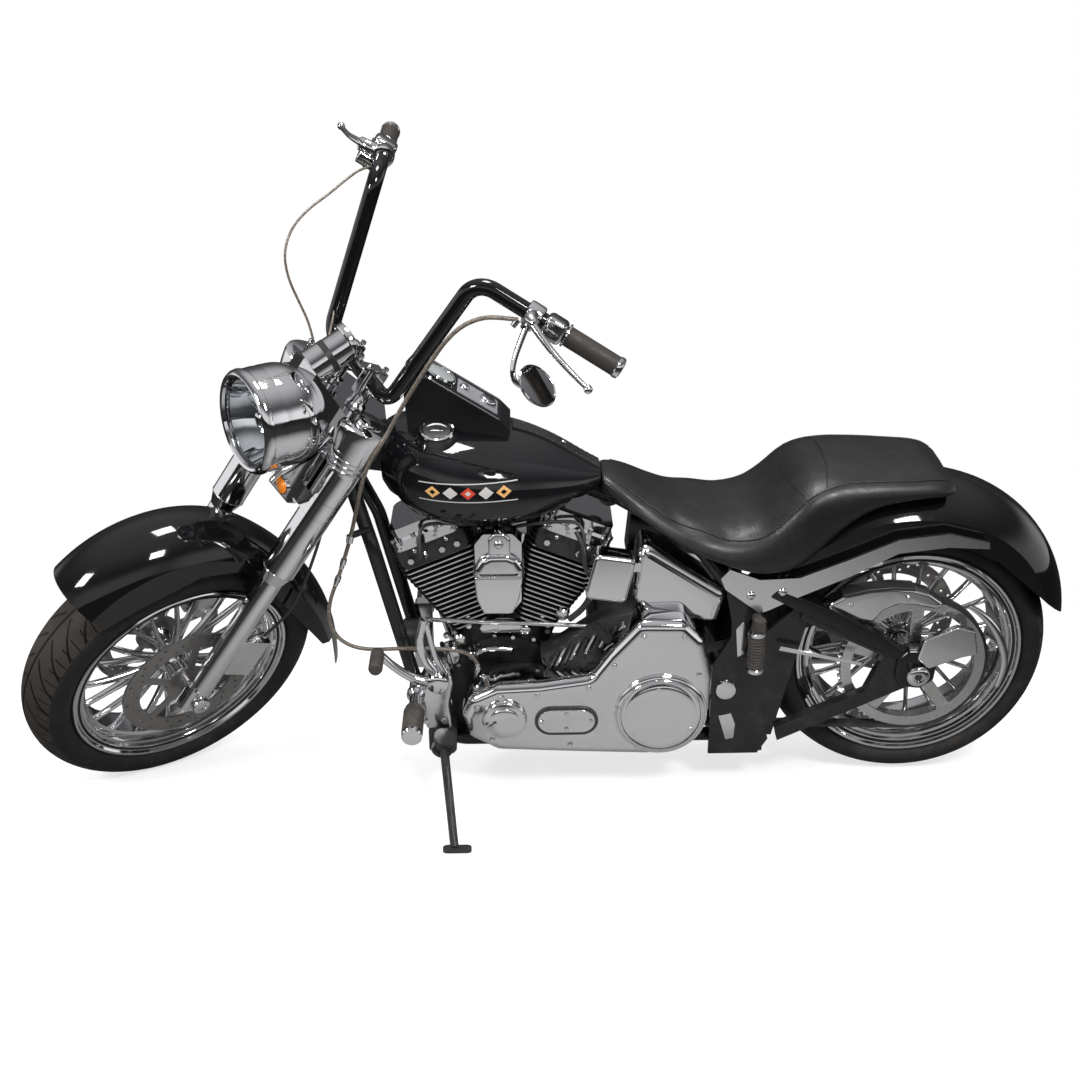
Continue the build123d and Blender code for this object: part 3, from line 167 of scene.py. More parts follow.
def film_group() -> bpy.types.NodeTree:
    """Smears and fine pitting on a smooth surface: a roughness and a height."""
    tree, given, made = node_group("surface_film", {"Scale": 40, "Low": 0.05, "High": 0.2}, ["Roughness", "Height"])
    place = tree.add("ShaderNodeTexCoord").outputs["Object"]
    cloud = tree.add("ShaderNodeTexNoise", {"Vector": place, "Scale": given.outputs["Scale"], "Detail": 6.0, "Roughness": 0.6})
    fine = tree.add("ShaderNodeTexNoise", {"Vector": place, "Scale": 900.0, "Detail": 2.0})
    share = tree.ramp(cloud.outputs[0], 0.4, 0.75)
    span = tree.math("SUBTRACT", given.outputs["High"], given.outputs["Low"])
    tree.tree.links.new(tree.math("MULTIPLY_ADD", share, span, given.outputs["Low"]), made.inputs["Roughness"])
    tree.tree.links.new(fine.outputs[0], made.inputs["Height"])
    return tree.tree


def dust_group() -> bpy.types.NodeTree:
    """Road dust that settles on upward faces and gathers low down: a mask."""
    tree, given, made = node_group("road_dust", {"Amount": 0.3, "Scale": 22}, ["Mask"])
    place = tree.add("ShaderNodeTexCoord").outputs["Object"]
    up = tree.add("ShaderNodeSeparateXYZ", {0: tree.add("ShaderNodeNewGeometry").outputs["Normal"]}).outputs[2]
    height = tree.add("ShaderNodeSeparateXYZ", {0: place}).outputs[2]
    cloud = tree.add("ShaderNodeTexNoise", {"Vector": place, "Scale": given.outputs["Scale"], "Detail": 8.0, "Roughness": 0.7})
    low = tree.math("SUBTRACT", 1.0, tree.ramp(height, 0.05, 0.55))
    settle = tree.math("ADD", tree.math("MULTIPLY", tree.ramp(up, 0.1, 1.0), 0.35), low)
    speck = tree.math("MULTIPLY", tree.ramp(cloud.outputs[0], 0.42, 0.72), settle)
    tree.tree.links.new(tree.math("MULTIPLY", speck, given.outputs["Amount"]), made.inputs["Mask"])
    return tree.tree


def grain_group() -> bpy.types.NodeTree:
    """The cells of leather or moulded rubber: a height."""
    tree, given, made = node_group("grain", {"Scale": 500}, ["Height"])
    place = tree.add("ShaderNodeTexCoord").outputs["Object"]
    cells = tree.add("ShaderNodeTexVoronoi", {"Vector": place, "Scale": given.outputs["Scale"]}, feature="SMOOTH_F1")
    cloud = tree.add("ShaderNodeTexNoise", {"Vector": place, "Scale": 60.0, "Detail": 4.0})
    tree.tree.links.new(tree.math("MULTIPLY_ADD", cells.outputs[0], 0.7, cloud.outputs[0]), made.inputs["Height"])
    return tree.tree


@dataclass(frozen=True)
class Finish:
    """A material: its colour and gloss, and how much smear, dust and grain it shows."""

    name: str
    colour: tuple[float, float, float]
    slot: str
    metallic: float = 0.0
    rough: tuple[float, float] = (0.3, 0.4)
    film_scale: float = 30.0
    coat: float = 0.0
    dust: float = 0.0
    dust_colour: tuple[float, float, float] = (0.36, 0.31, 0.25)
    grain: float = 0.0
    grain_scale: float = 500.0
    bump: float = 0.02
    shine: float = 0.5

    def build(self, groups: dict[str, bpy.types.NodeTree]) -> bpy.types.Material:
        """Makes the material.

        Args:
            groups: the shared shader groups by name.

        Returns:
            The material.
        """
        material = bpy.data.materials.new(self.name)
        material.use_nodes = True
        tree = Tree(material.node_tree)
        shader = material.node_tree.nodes["Principled BSDF"]
        film = tree.add("ShaderNodeGroup", node_tree=groups["film"])
        for label, value in (("Scale", self.film_scale), ("Low", self.rough[0]), ("High", self.rough[1])):
            film.inputs[label].default_value = value
        height, strength = film.outputs["Height"], self.bump
        if self.grain:
            cells = tree.add("ShaderNodeGroup", node_tree=groups["grain"])
            cells.inputs["Scale"].default_value = self.grain_scale
            height, strength = cells.outputs["Height"], self.grain
        colour = self.paint(tree)
        if self.dust:
            cover = tree.add("ShaderNodeGroup", node_tree=groups["dust"])
            cover.inputs["Amount"].default_value = self.dust
            colour = tree.mix(cover.outputs["Mask"], colour if colour is not None else self.colour, self.dust_colour)
        if colour is not None:
            tree.tree.links.new(colour, shader.inputs["Base Color"])
        else:
            shader.inputs["Base Color"].default_value = (*self.colour, 1)
        tree.tree.links.new(film.outputs["Roughness"], shader.inputs["Roughness"])
        shader.inputs["Metallic"].default_value = self.metallic
        shader.inputs["Coat Weight"].default_value = self.coat
        shader.inputs["Coat Roughness"].default_value = 0.03
        shader.inputs["Specular IOR Level"].default_value = self.shine
        relief = self.relief(tree, height)
        bump = tree.add("ShaderNodeBump", {"Height": relief, "Strength": strength, "Distance": 0.001})
        tree.tree.links.new(bump.outputs[0], shader.inputs["Normal"])
        self.adjust(shader)
        return material

    def paint(self, tree: Tree) -> Optional[bpy.types.NodeSocket]:
        """The colour where it changes over the surface, or None."""
        return None

    def relief(self, tree: Tree, height: bpy.types.NodeSocket) -> bpy.types.NodeSocket:
        """The height that the bump shows."""
        return height

    def adjust(self, shader: bpy.types.Node) -> None:
        """Sets what only this finish has on its shader."""


def local(tree: Tree, place: Matrix) -> list[bpy.types.NodeSocket]:
    """The x, y and z sockets of a point in one of the bike's own frames.

    Args:
        tree: the tree to add to.
        place: the frame's place.

    Returns:
        Three sockets, in metres.
    """
    back = place.inverted()
    turn = back.to_euler("XYZ")
    mapping = tree.add("ShaderNodeMapping", {"Vector": tree.add("ShaderNodeTexCoord").outputs["Object"],
                                             "Location": back.to_translation(), "Rotation": turn})
    return list(tree.add("ShaderNodeSeparateXYZ", {0: mapping.outputs[0]}).outputs)


@dataclass(frozen=True)
class FinPaint(Finish):
    """Black barrels whose fins are polished along their outer edges."""

    crank: tuple[float, float] = (0.885, 0.240)
    half_angle: float = 22.5

    def paint(self, tree: Tree) -> bpy.types.NodeSocket:
        """Bright where the face stands along the barrel and far from its middle."""
        x, y, z = local(tree, UPRIGHT)
        side = tree.math("SIGN", tree.math("SUBTRACT", x, self.crank[0]))
        ahead = tree.math("MULTIPLY", side, tree.math("SUBTRACT", x, self.crank[0]))
        up = tree.math("SUBTRACT", z, self.crank[1])
        a = radians(self.half_angle)
        along = tree.math("ADD", tree.math("MULTIPLY", ahead, sin(a)), tree.math("MULTIPLY", up, cos(a)))
        turn = tree.math("MODULO", tree.math("SUBTRACT", along, 0.178), 0.0115)
        fin = tree.math("MULTIPLY", tree.math("LESS_THAN", turn, 0.0038), tree.math("GREATER_THAN", turn, 0.0008))
        outer = tree.ramp(tree.math("ABSOLUTE", y), 0.0755, 0.0775)
        return tree.mix(tree.math("MULTIPLY", fin, outer), self.colour, (0.42, 0.42, 0.43))


@dataclass(frozen=True)
class TankPaint(Finish):
    """Gloss paint with a row of small diamonds between two pinstripes."""

    centre: tuple[float, float] = (0.949, 0.753)
    pitch: float = 0.036
    half: tuple[float, float] = (0.0155, 0.0125)

    def paint(self, tree: Tree) -> bpy.types.NodeSocket:
        """The stripes and diamonds, from the distance to the row's middle."""
        x, y, z = local(tree, UPRIGHT)
        silver, tan, red = (0.46, 0.45, 0.43), (0.60, 0.34, 0.13), (0.50, 0.05, 0.03)
        across = tree.math("SUBTRACT", x, self.centre[0])
        up = tree.math("ABSOLUTE", tree.math("SUBTRACT", z, self.centre[1]))
        away = tree.math("ABSOLUTE", across)
        side = tree.math("GREATER_THAN", tree.math("ABSOLUTE", y), 0.09)
        line = tree.math("LESS_THAN", tree.math("ABSOLUTE", tree.math("SUBTRACT", up, 0.0185)), 0.0011)
        line = tree.math("MULTIPLY", line, tree.math("LESS_THAN", away, 0.100))
        colour = tree.mix(tree.math("MULTIPLY", line, side), self.colour, silver)
        for place, size, tint in ((0.0, 1.0, red), (0.0, 0.42, silver), (1.0, 1.0, silver), (2.0, 1.0, tan), (2.0, 0.42, self.colour)):
            beside = tree.math("DIVIDE", tree.math("ABSOLUTE", tree.math("SUBTRACT", away, place * self.pitch)), self.half[0])
            above = tree.math("DIVIDE", up, self.half[1])
            diamond = tree.math("LESS_THAN", tree.math("ADD", beside, above), size)
            colour = tree.mix(tree.math("MULTIPLY", diamond, side), colour, tint)
        return colour


@dataclass(frozen=True)
class TyreRubber(Finish):
    """A road tyre: slanted grooves over the crown and fine rings on the wall."""

    place: Matrix = field(default_factory=Matrix)
    crown: float = 0.9
    half: float = 0.07
    pitch: int = 44

    def grooves(self, tree: Tree) -> tuple[bpy.types.NodeSocket, bpy.types.NodeSocket, bpy.types.NodeSocket]:
        """Where the grooves run, how far a point is up the crown, and its radius."""
        x, y, z = local(tree, self.place)
        angle = tree.math("ARCTAN2", z, x)
        radius = tree.math("SQRT", tree.math("ADD", tree.math("MULTIPLY", x, x), tree.math("MULTIPLY", z, z)))
        width = tree.math("ABSOLUTE", y)
        crown = tree.ramp(radius, self.crown, self.crown + 0.004)
        cuts = []
        for pitch, slope, gap, near in ((self.pitch, 24.0, 0.13, 0.010), (self.pitch * 2, 9.0, 0.10, self.half * 0.55)):
            turn = tree.math("ADD", tree.math("MULTIPLY", angle, pitch / (2 * pi)), tree.math("MULTIPLY", width, slope))
            cuts.append(tree.math("MULTIPLY", tree.math("LESS_THAN", tree.math("FRACT", turn), gap), tree.ramp(width, near, near + 0.002)))
        cuts.append(tree.math("LESS_THAN", width, 0.003))
        cut = tree.math("MULTIPLY", tree.math("MAXIMUM", cuts[0], tree.math("MAXIMUM", cuts[1], cuts[2])), crown)
        return cut, crown, radius

    def paint(self, tree: Tree) -> bpy.types.NodeSocket:
        """Scuffed crown blocks between grooves painted near-black, painted shade in the cuts."""
        cut, crown, _ = self.grooves(tree)
        blocks = tree.mix(crown, self.colour, (0.034, 0.029, 0.025))
        # The grooves' near-black is painted shade that falls in the cuts, not a colour of the rubber.
        return tree.mix(cut, blocks, (0.001, 0.001, 0.001))

    def relief(self, tree: Tree, height: bpy.types.NodeSocket) -> bpy.types.NodeSocket:
        """Grooves cut into the crown, and rings cut by radius in the wall."""
        cut, crown, radius = self.grooves(tree)
        rings = tree.math("MULTIPLY", tree.math("SINE", tree.math("MULTIPLY", radius, 1400.0)), 0.05)
        wall = tree.math("MULTIPLY", rings, tree.math("SUBTRACT", 1.0, crown))
        total = tree.math("SUBTRACT", wall, cut)
        return tree.math("MULTIPLY_ADD", height, 0.12, tree.math("MULTIPLY", total, 5.0))


@dataclass(frozen=True)
class BraidedCover(Finish):
    """A cable's woven cover: crossed strands of two browns."""

    second: tuple[float, float, float] = (0.26, 0.22, 0.18)

    def paint(self, tree: Tree) -> bpy.types.NodeSocket:
        """Two browns in small cells."""
        place = tree.add("ShaderNodeTexCoord").outputs["Object"]
        cells = tree.add("ShaderNodeTexVoronoi", {"Vector": place, "Scale": 420.0})
        return tree.mix(tree.ramp(cells.outputs[0], 0.2, 0.7), self.second, self.colour)


@dataclass(frozen=True)
class Glass(Finish):
    """Clear or tinted glass."""

    through: float = 1.0
    bend: float = 1.45

    def adjust(self, shader: bpy.types.Node) -> None:
        """Light passes through it."""
        shader.inputs["Transmission Weight"].default_value = self.through
        shader.inputs["IOR"].default_value = self.bend


class Shop:
    """Every finish, built once."""

    def __init__(self) -> None:
        """Builds the shared groups and the finishes."""
        groups = {"film": film_group(), "dust": dust_group(), "grain": grain_group()}
        wheel = {"front": Body.FRONT_WHEEL.place, "rear": Body.REAR_WHEEL.place}
        finishes = [
            Finish("chrome", (0.74, 0.745, 0.755), "chrome", 1.0, (0.045, 0.11), 26, dust=0.10),
            Finish("worn_chrome", (0.70, 0.69, 0.68), "chrome", 1.0, (0.12, 0.28), 30, dust=0.22),
            Finish("polished_alloy", (0.74, 0.74, 0.75), "alloy", 1.0, (0.14, 0.24), 34, dust=0.12),
            Finish("disc_steel", (0.26, 0.25, 0.24), "steel", 0.8, (0.30, 0.42), 60, dust=0.10),
            Finish("pulley_steel", (0.62, 0.61, 0.60), "steel", 1.0, (0.2, 0.34), 60, dust=0.2),
            Finish("gloss_black", (0.004, 0.004, 0.0045), "black_paint", 0.0, (0.06, 0.12), 20, coat=0.3, bump=0.0, shine=0.32),
            Finish("frame_black", (0.010, 0.010, 0.011), "black_paint", 0.0, (0.16, 0.28), 20, coat=0.2, dust=0.04, bump=0.01, shine=0.3),
            TankPaint("tank_black", (0.006, 0.006, 0.007), "black_paint", 0.0, (0.05, 0.10), 20, coat=0.4, bump=0.0, shine=0.35),
            Finish("case_black", (0.010, 0.0098, 0.0098), "black_case", 0.0, (0.34, 0.5), 50, dust=0.08, grain=0.18, grain_scale=900, shine=0.4),
            FinPaint("fin_black", (0.014, 0.014, 0.014), "black_fins", 0.35, (0.28, 0.45), 50, dust=0.08),
            Finish("satin_black", (0.018, 0.018, 0.018), "black_plastic", 0.0, (0.3, 0.42), 40, dust=0.06),
            Finish("console_black", (0.008, 0.008, 0.009), "black_plastic", 0.0, (0.08, 0.16), 40, coat=0.2, bump=0.0, shine=0.3),
            Finish("seat_leather", (0.010, 0.0098, 0.0098), "seat_leather", 0.0, (0.34, 0.5), 26, grain=0.35, grain_scale=420, dust=0.03, shine=0.42),
            Finish("strap_leather", (0.014, 0.013, 0.013), "strap_leather", 0.0, (0.4, 0.55), 26, grain=0.4, grain_scale=520),
            Finish("piping", (0.010, 0.010, 0.010), "seat_leather", 0.0, (0.3, 0.4), 26, grain=0.2, grain_scale=700),
            Finish("grip_rubber", (0.030, 0.0245, 0.0205), "grip_rubber", 0.0, (0.5, 0.7), 60, grain=0.08, grain_scale=800, shine=0.3),
            Finish("peg_rubber", (0.032, 0.028, 0.025), "peg_rubber", 0.0, (0.6, 0.8), 60, grain=0.3, grain_scale=700, dust=0.12),
            Finish("belt_rubber", (0.018, 0.017, 0.017), "belt_rubber", 0.0, (0.55, 0.75), 80, grain=0.2, grain_scale=900, dust=0.1),
            TyreRubber("front_tyre_rubber", (0.013, 0.0125, 0.0125), "tyre", 0.0, (0.52, 0.7), 60, grain=0.9, grain_scale=900,
                       dust=0.04, shine=0.22, place=wheel["front"], crown=0.296, half=0.07, pitch=36),
            TyreRubber("rear_tyre_rubber", (0.013, 0.0125, 0.0125), "tyre", 0.0, (0.52, 0.7), 60, grain=0.9, grain_scale=900,
                       dust=0.04, shine=0.22, place=wheel["rear"], crown=0.284, half=0.09, pitch=34),
            BraidedCover("cable_braid", (0.085, 0.070, 0.058), "cable", 0.2, (0.4, 0.55), 60, grain=0.8, grain_scale=420),
            Finish("cable_black", (0.02, 0.02, 0.02), "cable", 0.0, (0.35, 0.5), 60),
            Glass("lamp_glass", (0.97, 0.98, 0.99), "lamp_glass", 0.0, (0.0, 0.02), 10, bump=0.0, bend=1.14),
            Glass("amber_lens", (0.95, 0.28, 0.03), "amber", 0.0, (0.08, 0.14), 30, through=0.35),
            Finish("milky_glass", (0.30, 0.32, 0.32), "black_plastic", 0.0, (0.12, 0.2), 30, coat=0.8),
            Finish("mirror_glass", (0.86, 0.88, 0.90), "chrome", 1.0, (0.01, 0.03), 12, bump=0.0),
            Finish("dial_face", (0.80, 0.79, 0.75), "chrome", 0.0, (0.3, 0.4), 20),
            Finish("grey_panel", (0.20, 0.20, 0.21), "black_plastic", 0.0, (0.4, 0.5), 40),
        ]
        self.slots = {finish.name: finish.slot for finish in finishes}
        self.made = {finish.name: finish.build(groups) for finish in finishes}

    def dress(self, piece: bpy.types.Object, finish: str) -> bpy.types.Object:
        """Gives a piece its finish."""
        piece.data.materials.clear()
        piece.data.materials.append(self.made[finish])
        return piece


# ----------------------------------------------------------------------------------------------------------------------
# Making pieces
# ----------------------------------------------------------------------------------------------------------------------
def head_tree(name: str, sides: int, dome: bool) -> bpy.types.NodeTree:
    """A Geometry Nodes tree that sets a fastener's head on every vertex, along its "facing" vector.

    Args:
        name: the tree's name.
        sides: how many sides the head has.
        dome: whether its top is round.

    Returns:
        The tree, with inputs Radius, Height and Finish.
    """
    group = bpy.data.node_groups.new(name, "GeometryNodeTree")
    group.interface.new_socket("Geometry", in_out="INPUT", socket_type="NodeSocketGeometry")
    for label in ("Radius", "Height"):
        group.interface.new_socket(label, in_out="INPUT", socket_type="NodeSocketFloat")
    group.interface.new_socket("Finish", in_out="INPUT", socket_type="NodeSocketMaterial")
    group.interface.new_socket("Geometry", in_out="OUTPUT", socket_type="NodeSocketGeometry")
    tree = Tree(group)
    given, made = tree.add("NodeGroupInput"), tree.add("NodeGroupOutput")
    facing = tree.add("GeometryNodeInputNamedAttribute", {"Name": "facing"}, data_type="FLOAT_VECTOR")
    turn = tree.add("FunctionNodeAlignRotationToVector", {"Vector": facing.outputs[0]}, axis="Z")
    if dome:
        head = tree.add("GeometryNodeMeshUVSphere", {"Segments": sides, "Rings": 6, "Radius": given.outputs["Radius"]})
        flat = tree.add("ShaderNodeCombineXYZ", {0: 1.0, 1: 1.0, 2: tree.math("DIVIDE", given.outputs["Height"], given.outputs["Radius"])})
        shape = tree.add("GeometryNodeTransform", {"Geometry": head.outputs[0], "Scale": flat.outputs[0]}).outputs[0]
    else:
        top = tree.math("MULTIPLY", given.outputs["Radius"], 0.88)
        head = tree.add("GeometryNodeMeshCone", {"Vertices": sides, "Radius Bottom": given.outputs["Radius"], "Radius Top": top,
                                                 "Depth": given.outputs["Height"]})
        shape = head.outputs[0]
    spread = tree.add("GeometryNodeInstanceOnPoints", {"Points": given.outputs["Geometry"], "Instance": shape,
                                                       "Rotation": turn.outputs[0]})
    whole = tree.add("GeometryNodeRealizeInstances", {0: spread.outputs[0]})
    painted = tree.add("GeometryNodeSetMaterial", {"Geometry": whole.outputs[0], "Material": given.outputs["Finish"]})
    smooth = tree.add("GeometryNodeSetShadeSmooth", {"Geometry": painted.outputs[0], "Shade Smooth": dome})
    group.links.new(smooth.outputs[0], made.inputs[0])
    return group


def ring_tree(name: str) -> bpy.types.NodeTree:
    """A Geometry Nodes tree that sets rings on every vertex, about its "facing" vector.

    Args:
        name: the tree's name.

    Returns:
        The tree, with inputs Radius, Thickness and Finish.
    """
    group = bpy.data.node_groups.new(name, "GeometryNodeTree")
    group.interface.new_socket("Geometry", in_out="INPUT", socket_type="NodeSocketGeometry")
    for label in ("Radius", "Height"):
        group.interface.new_socket(label, in_out="INPUT", socket_type="NodeSocketFloat")
    group.interface.new_socket("Finish", in_out="INPUT", socket_type="NodeSocketMaterial")
    group.interface.new_socket("Geometry", in_out="OUTPUT", socket_type="NodeSocketGeometry")
    tree = Tree(group)
    given, made = tree.add("NodeGroupInput"), tree.add("NodeGroupOutput")
    facing = tree.add("GeometryNodeInputNamedAttribute", {"Name": "facing"}, data_type="FLOAT_VECTOR")
    turn = tree.add("FunctionNodeAlignRotationToVector", {"Vector": facing.outputs[0]}, axis="Z")
    circle = tree.add("GeometryNodeCurvePrimitiveCircle", {"Resolution": 48, "Radius": given.outputs["Radius"]})
    section = tree.add("GeometryNodeCurvePrimitiveCircle", {"Resolution": 10, "Radius": given.outputs["Height"]})
    band = tree.add("GeometryNodeCurveToMesh", {0: circle.outputs[0], 1: section.outputs[0]})
    spread = tree.add("GeometryNodeInstanceOnPoints", {"Points": given.outputs["Geometry"], "Instance": band.outputs[0],
                                                       "Rotation": turn.outputs[0]})
    whole = tree.add("GeometryNodeRealizeInstances", {0: spread.outputs[0]})
    painted = tree.add("GeometryNodeSetMaterial", {"Geometry": whole.outputs[0], "Material": given.outputs["Finish"]})
    smooth = tree.add("GeometryNodeSetShadeSmooth", {"Geometry": painted.outputs[0], "Shade Smooth": True})
    group.links.new(smooth.outputs[0], made.inputs[0])
    return group


def round_corners(outline: Sequence[tuple[float, float]], radius: float) -> list[tuple[float, float]]:
    """An outline with its corners rounded, as close points.

    Args:
        outline: the corners in mm.
        radius: the rounding in mm, less where an edge is too short for it.

    Returns:
        The rounded outline.
    """
    made = []
    for i, corner in enumerate(outline):
        here, before, after = Vector(corner), Vector(outline[i - 1]), Vector(outline[(i + 1) % len(outline)])
        back, ahead = (before - here), (after - here)
        half = back.angle(ahead) / 2
        if half > radians(86):
            made.append(tuple(here))
            continue
        reach = min(radius * cos(half) / sin(half), 0.48 * back.length, 0.48 * ahead.length)
        start, end = here + back.normalized() * reach, here + ahead.normalized() * reach
        count = max(2, int((pi - 2 * half) / radians(9)))
        for k in range(count + 1):
            t = k / count
            made.append(tuple(start * (1 - t) ** 2 + here * 2 * t * (1 - t) + end * t ** 2))
    return made


class Maker:
    """Makes meshes in a body's own frame, dresses them and hangs them on the body."""

    def __init__(self, shop: Shop) -> None:
        """Keeps the finishes and builds the repeating trees."""
        self.shop = shop
        self.trees = {"hex": head_tree("hex_heads", 6, False), "round": head_tree("cap_heads", 20, False),
                      "dome": head_tree("domed_heads", 14, True), "ring": ring_tree("rings")}
        self.count = 0

    def link(self, name: str, mesh: bpy.types.Mesh, on: Body, finish: str, smooth: bool = True,
             ride: bool = True) -> bpy.types.Object:
        """Places a mesh laid out in a body's frame and dresses it.

        Args:
            name: the piece's name.
            mesh: the mesh, in metres in the body's frame.
            on: the body.
            finish: the finish's name.
            smooth: whether it is shaded smooth by angle.
            ride: whether it is hung on the body now.

        Returns:
            The piece.
        """
        mesh.transform(on.place)
        piece = bpy.data.objects.new(name, mesh)
        bpy.context.scene.collection.objects.link(piece)
        if smooth:
            mesh.shade_smooth()
            mesh.set_sharp_from_angle(angle=radians(38))
        self.shop.dress(piece, finish)
        if ride:
            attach(piece, on.body)
        self.count += 1
        log.info("%s: %d faces on %s", name, len(mesh.polygons), on.body)
        return piece

    def mesh(self, name: str, build: bmesh.types.BMesh) -> bpy.types.Mesh:
        """A mesh from a bmesh, with its faces outwards."""
        bmesh.ops.remove_doubles(build, verts=build.verts, dist=1e-6)
        bmesh.ops.recalc_face_normals(build, faces=build.faces)
        made = bpy.data.meshes.new(name)
        build.to_mesh(made)
        build.free()
        return made

    def turned(self, name: str, on: Body, finish: str, origin: Point, axis: Point, profile: Sequence[tuple[float, float]],
               steps: int = 48, ride: bool = True) -> bpy.types.Object:
        """A turned piece.

        Args:
            name: the piece's name.
            on: its body.
            finish: its finish.
            origin: where the profile starts, in mm.
            axis: the direction of its axis.
            profile: (radius, distance along the axis) in mm.
            steps: how many sides.
            ride: whether it is hung on the body now.

        Returns:
            The piece.
        """
        build = bmesh.new()
        rings = []
        for radius, along in profile:
            if radius < 1e-6:
                rings.append([build.verts.new((0, 0, along * MM))])
            else:
                rings.append([build.verts.new((radius * MM * cos(2 * pi * i / steps), radius * MM * sin(2 * pi * i / steps), along * MM))
                              for i in range(steps)])
        for low, high in zip(rings, rings[1:]):
            for i in range(steps):
                j = (i + 1) % steps
                corners = [low[i % len(low)], low[j % len(low)], high[j % len(high)], high[i % len(high)]]
                corners = list(dict.fromkeys(corners))
                if len(corners) > 2:
                    build.faces.new(corners)
        for ring in (rings[0], rings[-1]):
            if len(ring) > 2 and profile[0] != profile[-1]:
                build.faces.new(ring)
        turn = Vector(axis).to_track_quat("Z", "Y").to_matrix().to_4x4()
        made = self.mesh(name, build)
        made.transform(Matrix.Translation(Vector(origin) * MM) @ turn)
        return self.link(name, made, on, finish, ride=ride)

    def bar(self, name: str, on: Body, finish: str, points: Sequence[Point], radii: object, flat: float = 1.0,
            order: int = 3, ride: bool = True, sides: int = 8) -> bpy.types.Object:
        """A smooth round bar along a route.

        Args:
            name: the piece's name.
            on: its body.
            finish: its finish.
            points: the route's control points, in mm.
            radii: one radius for all, or one a point, in mm.
            flat: not used.
            order: 3 for a smooth line, 2 for straight runs.
            ride: whether it is hung on the body now.
            sides: the bevel's resolution.

        Returns:
            The piece.
        """
        curve = bpy.data.curves.new(name, "CURVE")
        curve.dimensions = "3D"
        curve.resolution_u = 8
        curve.bevel_resolution = sides // 2
        curve.use_fill_caps = True
        sizes = list(radii) if isinstance(radii, (list, tuple)) else [radii] * len(points)
        curve.bevel_depth = MM
        spline = curve.splines.new("NURBS")
        spline.points.add(len(points) - 1)
        for knot, place, size in zip(spline.points, points, sizes):
            knot.co = (*(Vector(place) * MM), 1)
            knot.radius = size
        spline.order_u = order
        spline.use_endpoint_u = True
        holder = bpy.data.objects.new(name, curve)
        bpy.context.scene.collection.objects.link(holder)
        bpy.context.view_layer.update()
        made = bpy.data.meshes.new_from_object(holder.evaluated_get(bpy.context.evaluated_depsgraph_get()))
        bpy.data.objects.remove(holder)
        bpy.data.curves.remove(curve)
        return self.link(name, made, on, finish, ride=ride)

    def plate(self, name: str, on: Body, finish: str, outline: Sequence[tuple[float, float]], y: tuple[float, float],
              bevel: float = 1.5, segments: int = 3) -> bpy.types.Object:
        """A flat plate in side view.

        Args:
            name: the piece's name.
            on: its body.
            finish: its finish.
            outline: (x, z) corners in mm.
            y: its inner and outer face in mm.
            bevel: the edge's rounding in mm.
            segments: the rounding's steps.

        Returns:
            The piece.
        """
        build = bmesh.new()
        low = [build.verts.new((x * MM, y[0] * MM, z * MM)) for x, z in outline]
        high = [build.verts.new((x * MM, y[1] * MM, z * MM)) for x, z in outline]
        build.faces.new(low)
        build.faces.new(high)
        for i in range(len(outline)):
            j = (i + 1) % len(outline)
            build.faces.new((low[i], low[j], high[j], high[i]))
        bmesh.ops.recalc_face_normals(build, faces=build.faces)
        if bevel:
            bmesh.ops.bevel(build, geom=list(build.edges), offset=bevel * MM, segments=segments, affect="EDGES", profile=0.5)
        return self.link(name, self.mesh(name, build), on, finish)

    def pillow(self, name: str, on: Body, finish: str, outline: Sequence[tuple[float, float]], y: tuple[float, float],
               roll: float, corner: float = 0.0, steps: int = 6) -> bpy.types.Object:
        """A plate whose outer edge rolls over in a quarter round.

        Args:
            name: the piece's name.
            on: its body.
            finish: its finish.
            outline: (x, z) corners in mm.
            y: its inner and outer face in mm.
            roll: the radius that the outer edge rolls over.
            corner: the corners' radius in side view, at least the roll.
            steps: the roll's steps.

        Returns:
            The piece.
        """
        ring = round_corners(outline, max(corner, roll + 0.5))
        area = sum(a[0] * b[1] - b[0] * a[1] for a, b in zip(ring, ring[1:] + ring[:1]))
        turn = 1.0 if area > 0 else -1.0
        ways = []
        for i, point in enumerate(ring):
            before, after = Vector(ring[i - 1]), Vector(ring[(i + 1) % len(ring)])
            run = (Vector(point) - before).normalized() + (after - Vector(point)).normalized()
            run.normalize()
            ways.append(Vector((-run.y, run.x)) * turn)
        side = 1.0 if y[1] > y[0] else -1.0
        levels = [(0.0, y[0])] + [(roll * (1 - cos(a)), y[1] - side * roll * (1 - sin(a))) for a in
                                  [pi / 2 * i / steps for i in range(steps + 1)]]
        build = bmesh.new()
        loops = [[build.verts.new(((p[0] + w.x * inset) * MM, depth * MM, (p[1] + w.y * inset) * MM)) for p, w in zip(ring, ways)]
                 for inset, depth in levels]
        for low, high in zip(loops, loops[1:]):
            for i in range(len(ring)):
                j = (i + 1) % len(ring)
                build.faces.new((low[i], low[j], high[j], high[i]))
        build.faces.new(loops[0])
        build.faces.new(loops[-1])
        return self.link(name, self.mesh(name, build), on, finish)

    def loft(self, name: str, on: Body, finish: str, chains: Sequence[Sequence[Sequence[Point]]], ride: bool = True) -> bpy.types.Object:
        """Closed skins, each through rings of equal count.

        Args:
            name: the piece's name.
            on: its body.
            finish: its finish.
            chains: each skin's rings, as points in mm.
            ride: whether it is hung on the body now.

        Returns:
            The piece.
        """
        build = bmesh.new()
        for rings in chains:
            loops = [[build.verts.new(Vector(point) * MM) for point in ring] for ring in rings]
            for low, high in zip(loops, loops[1:]):
                for i in range(len(low)):
                    j = (i + 1) % len(low)
                    build.faces.new((low[i], low[j], high[j], high[i]))
            build.faces.new(loops[0])
            build.faces.new(loops[-1])
        return self.link(name, self.mesh(name, build), on, finish, ride=ride)

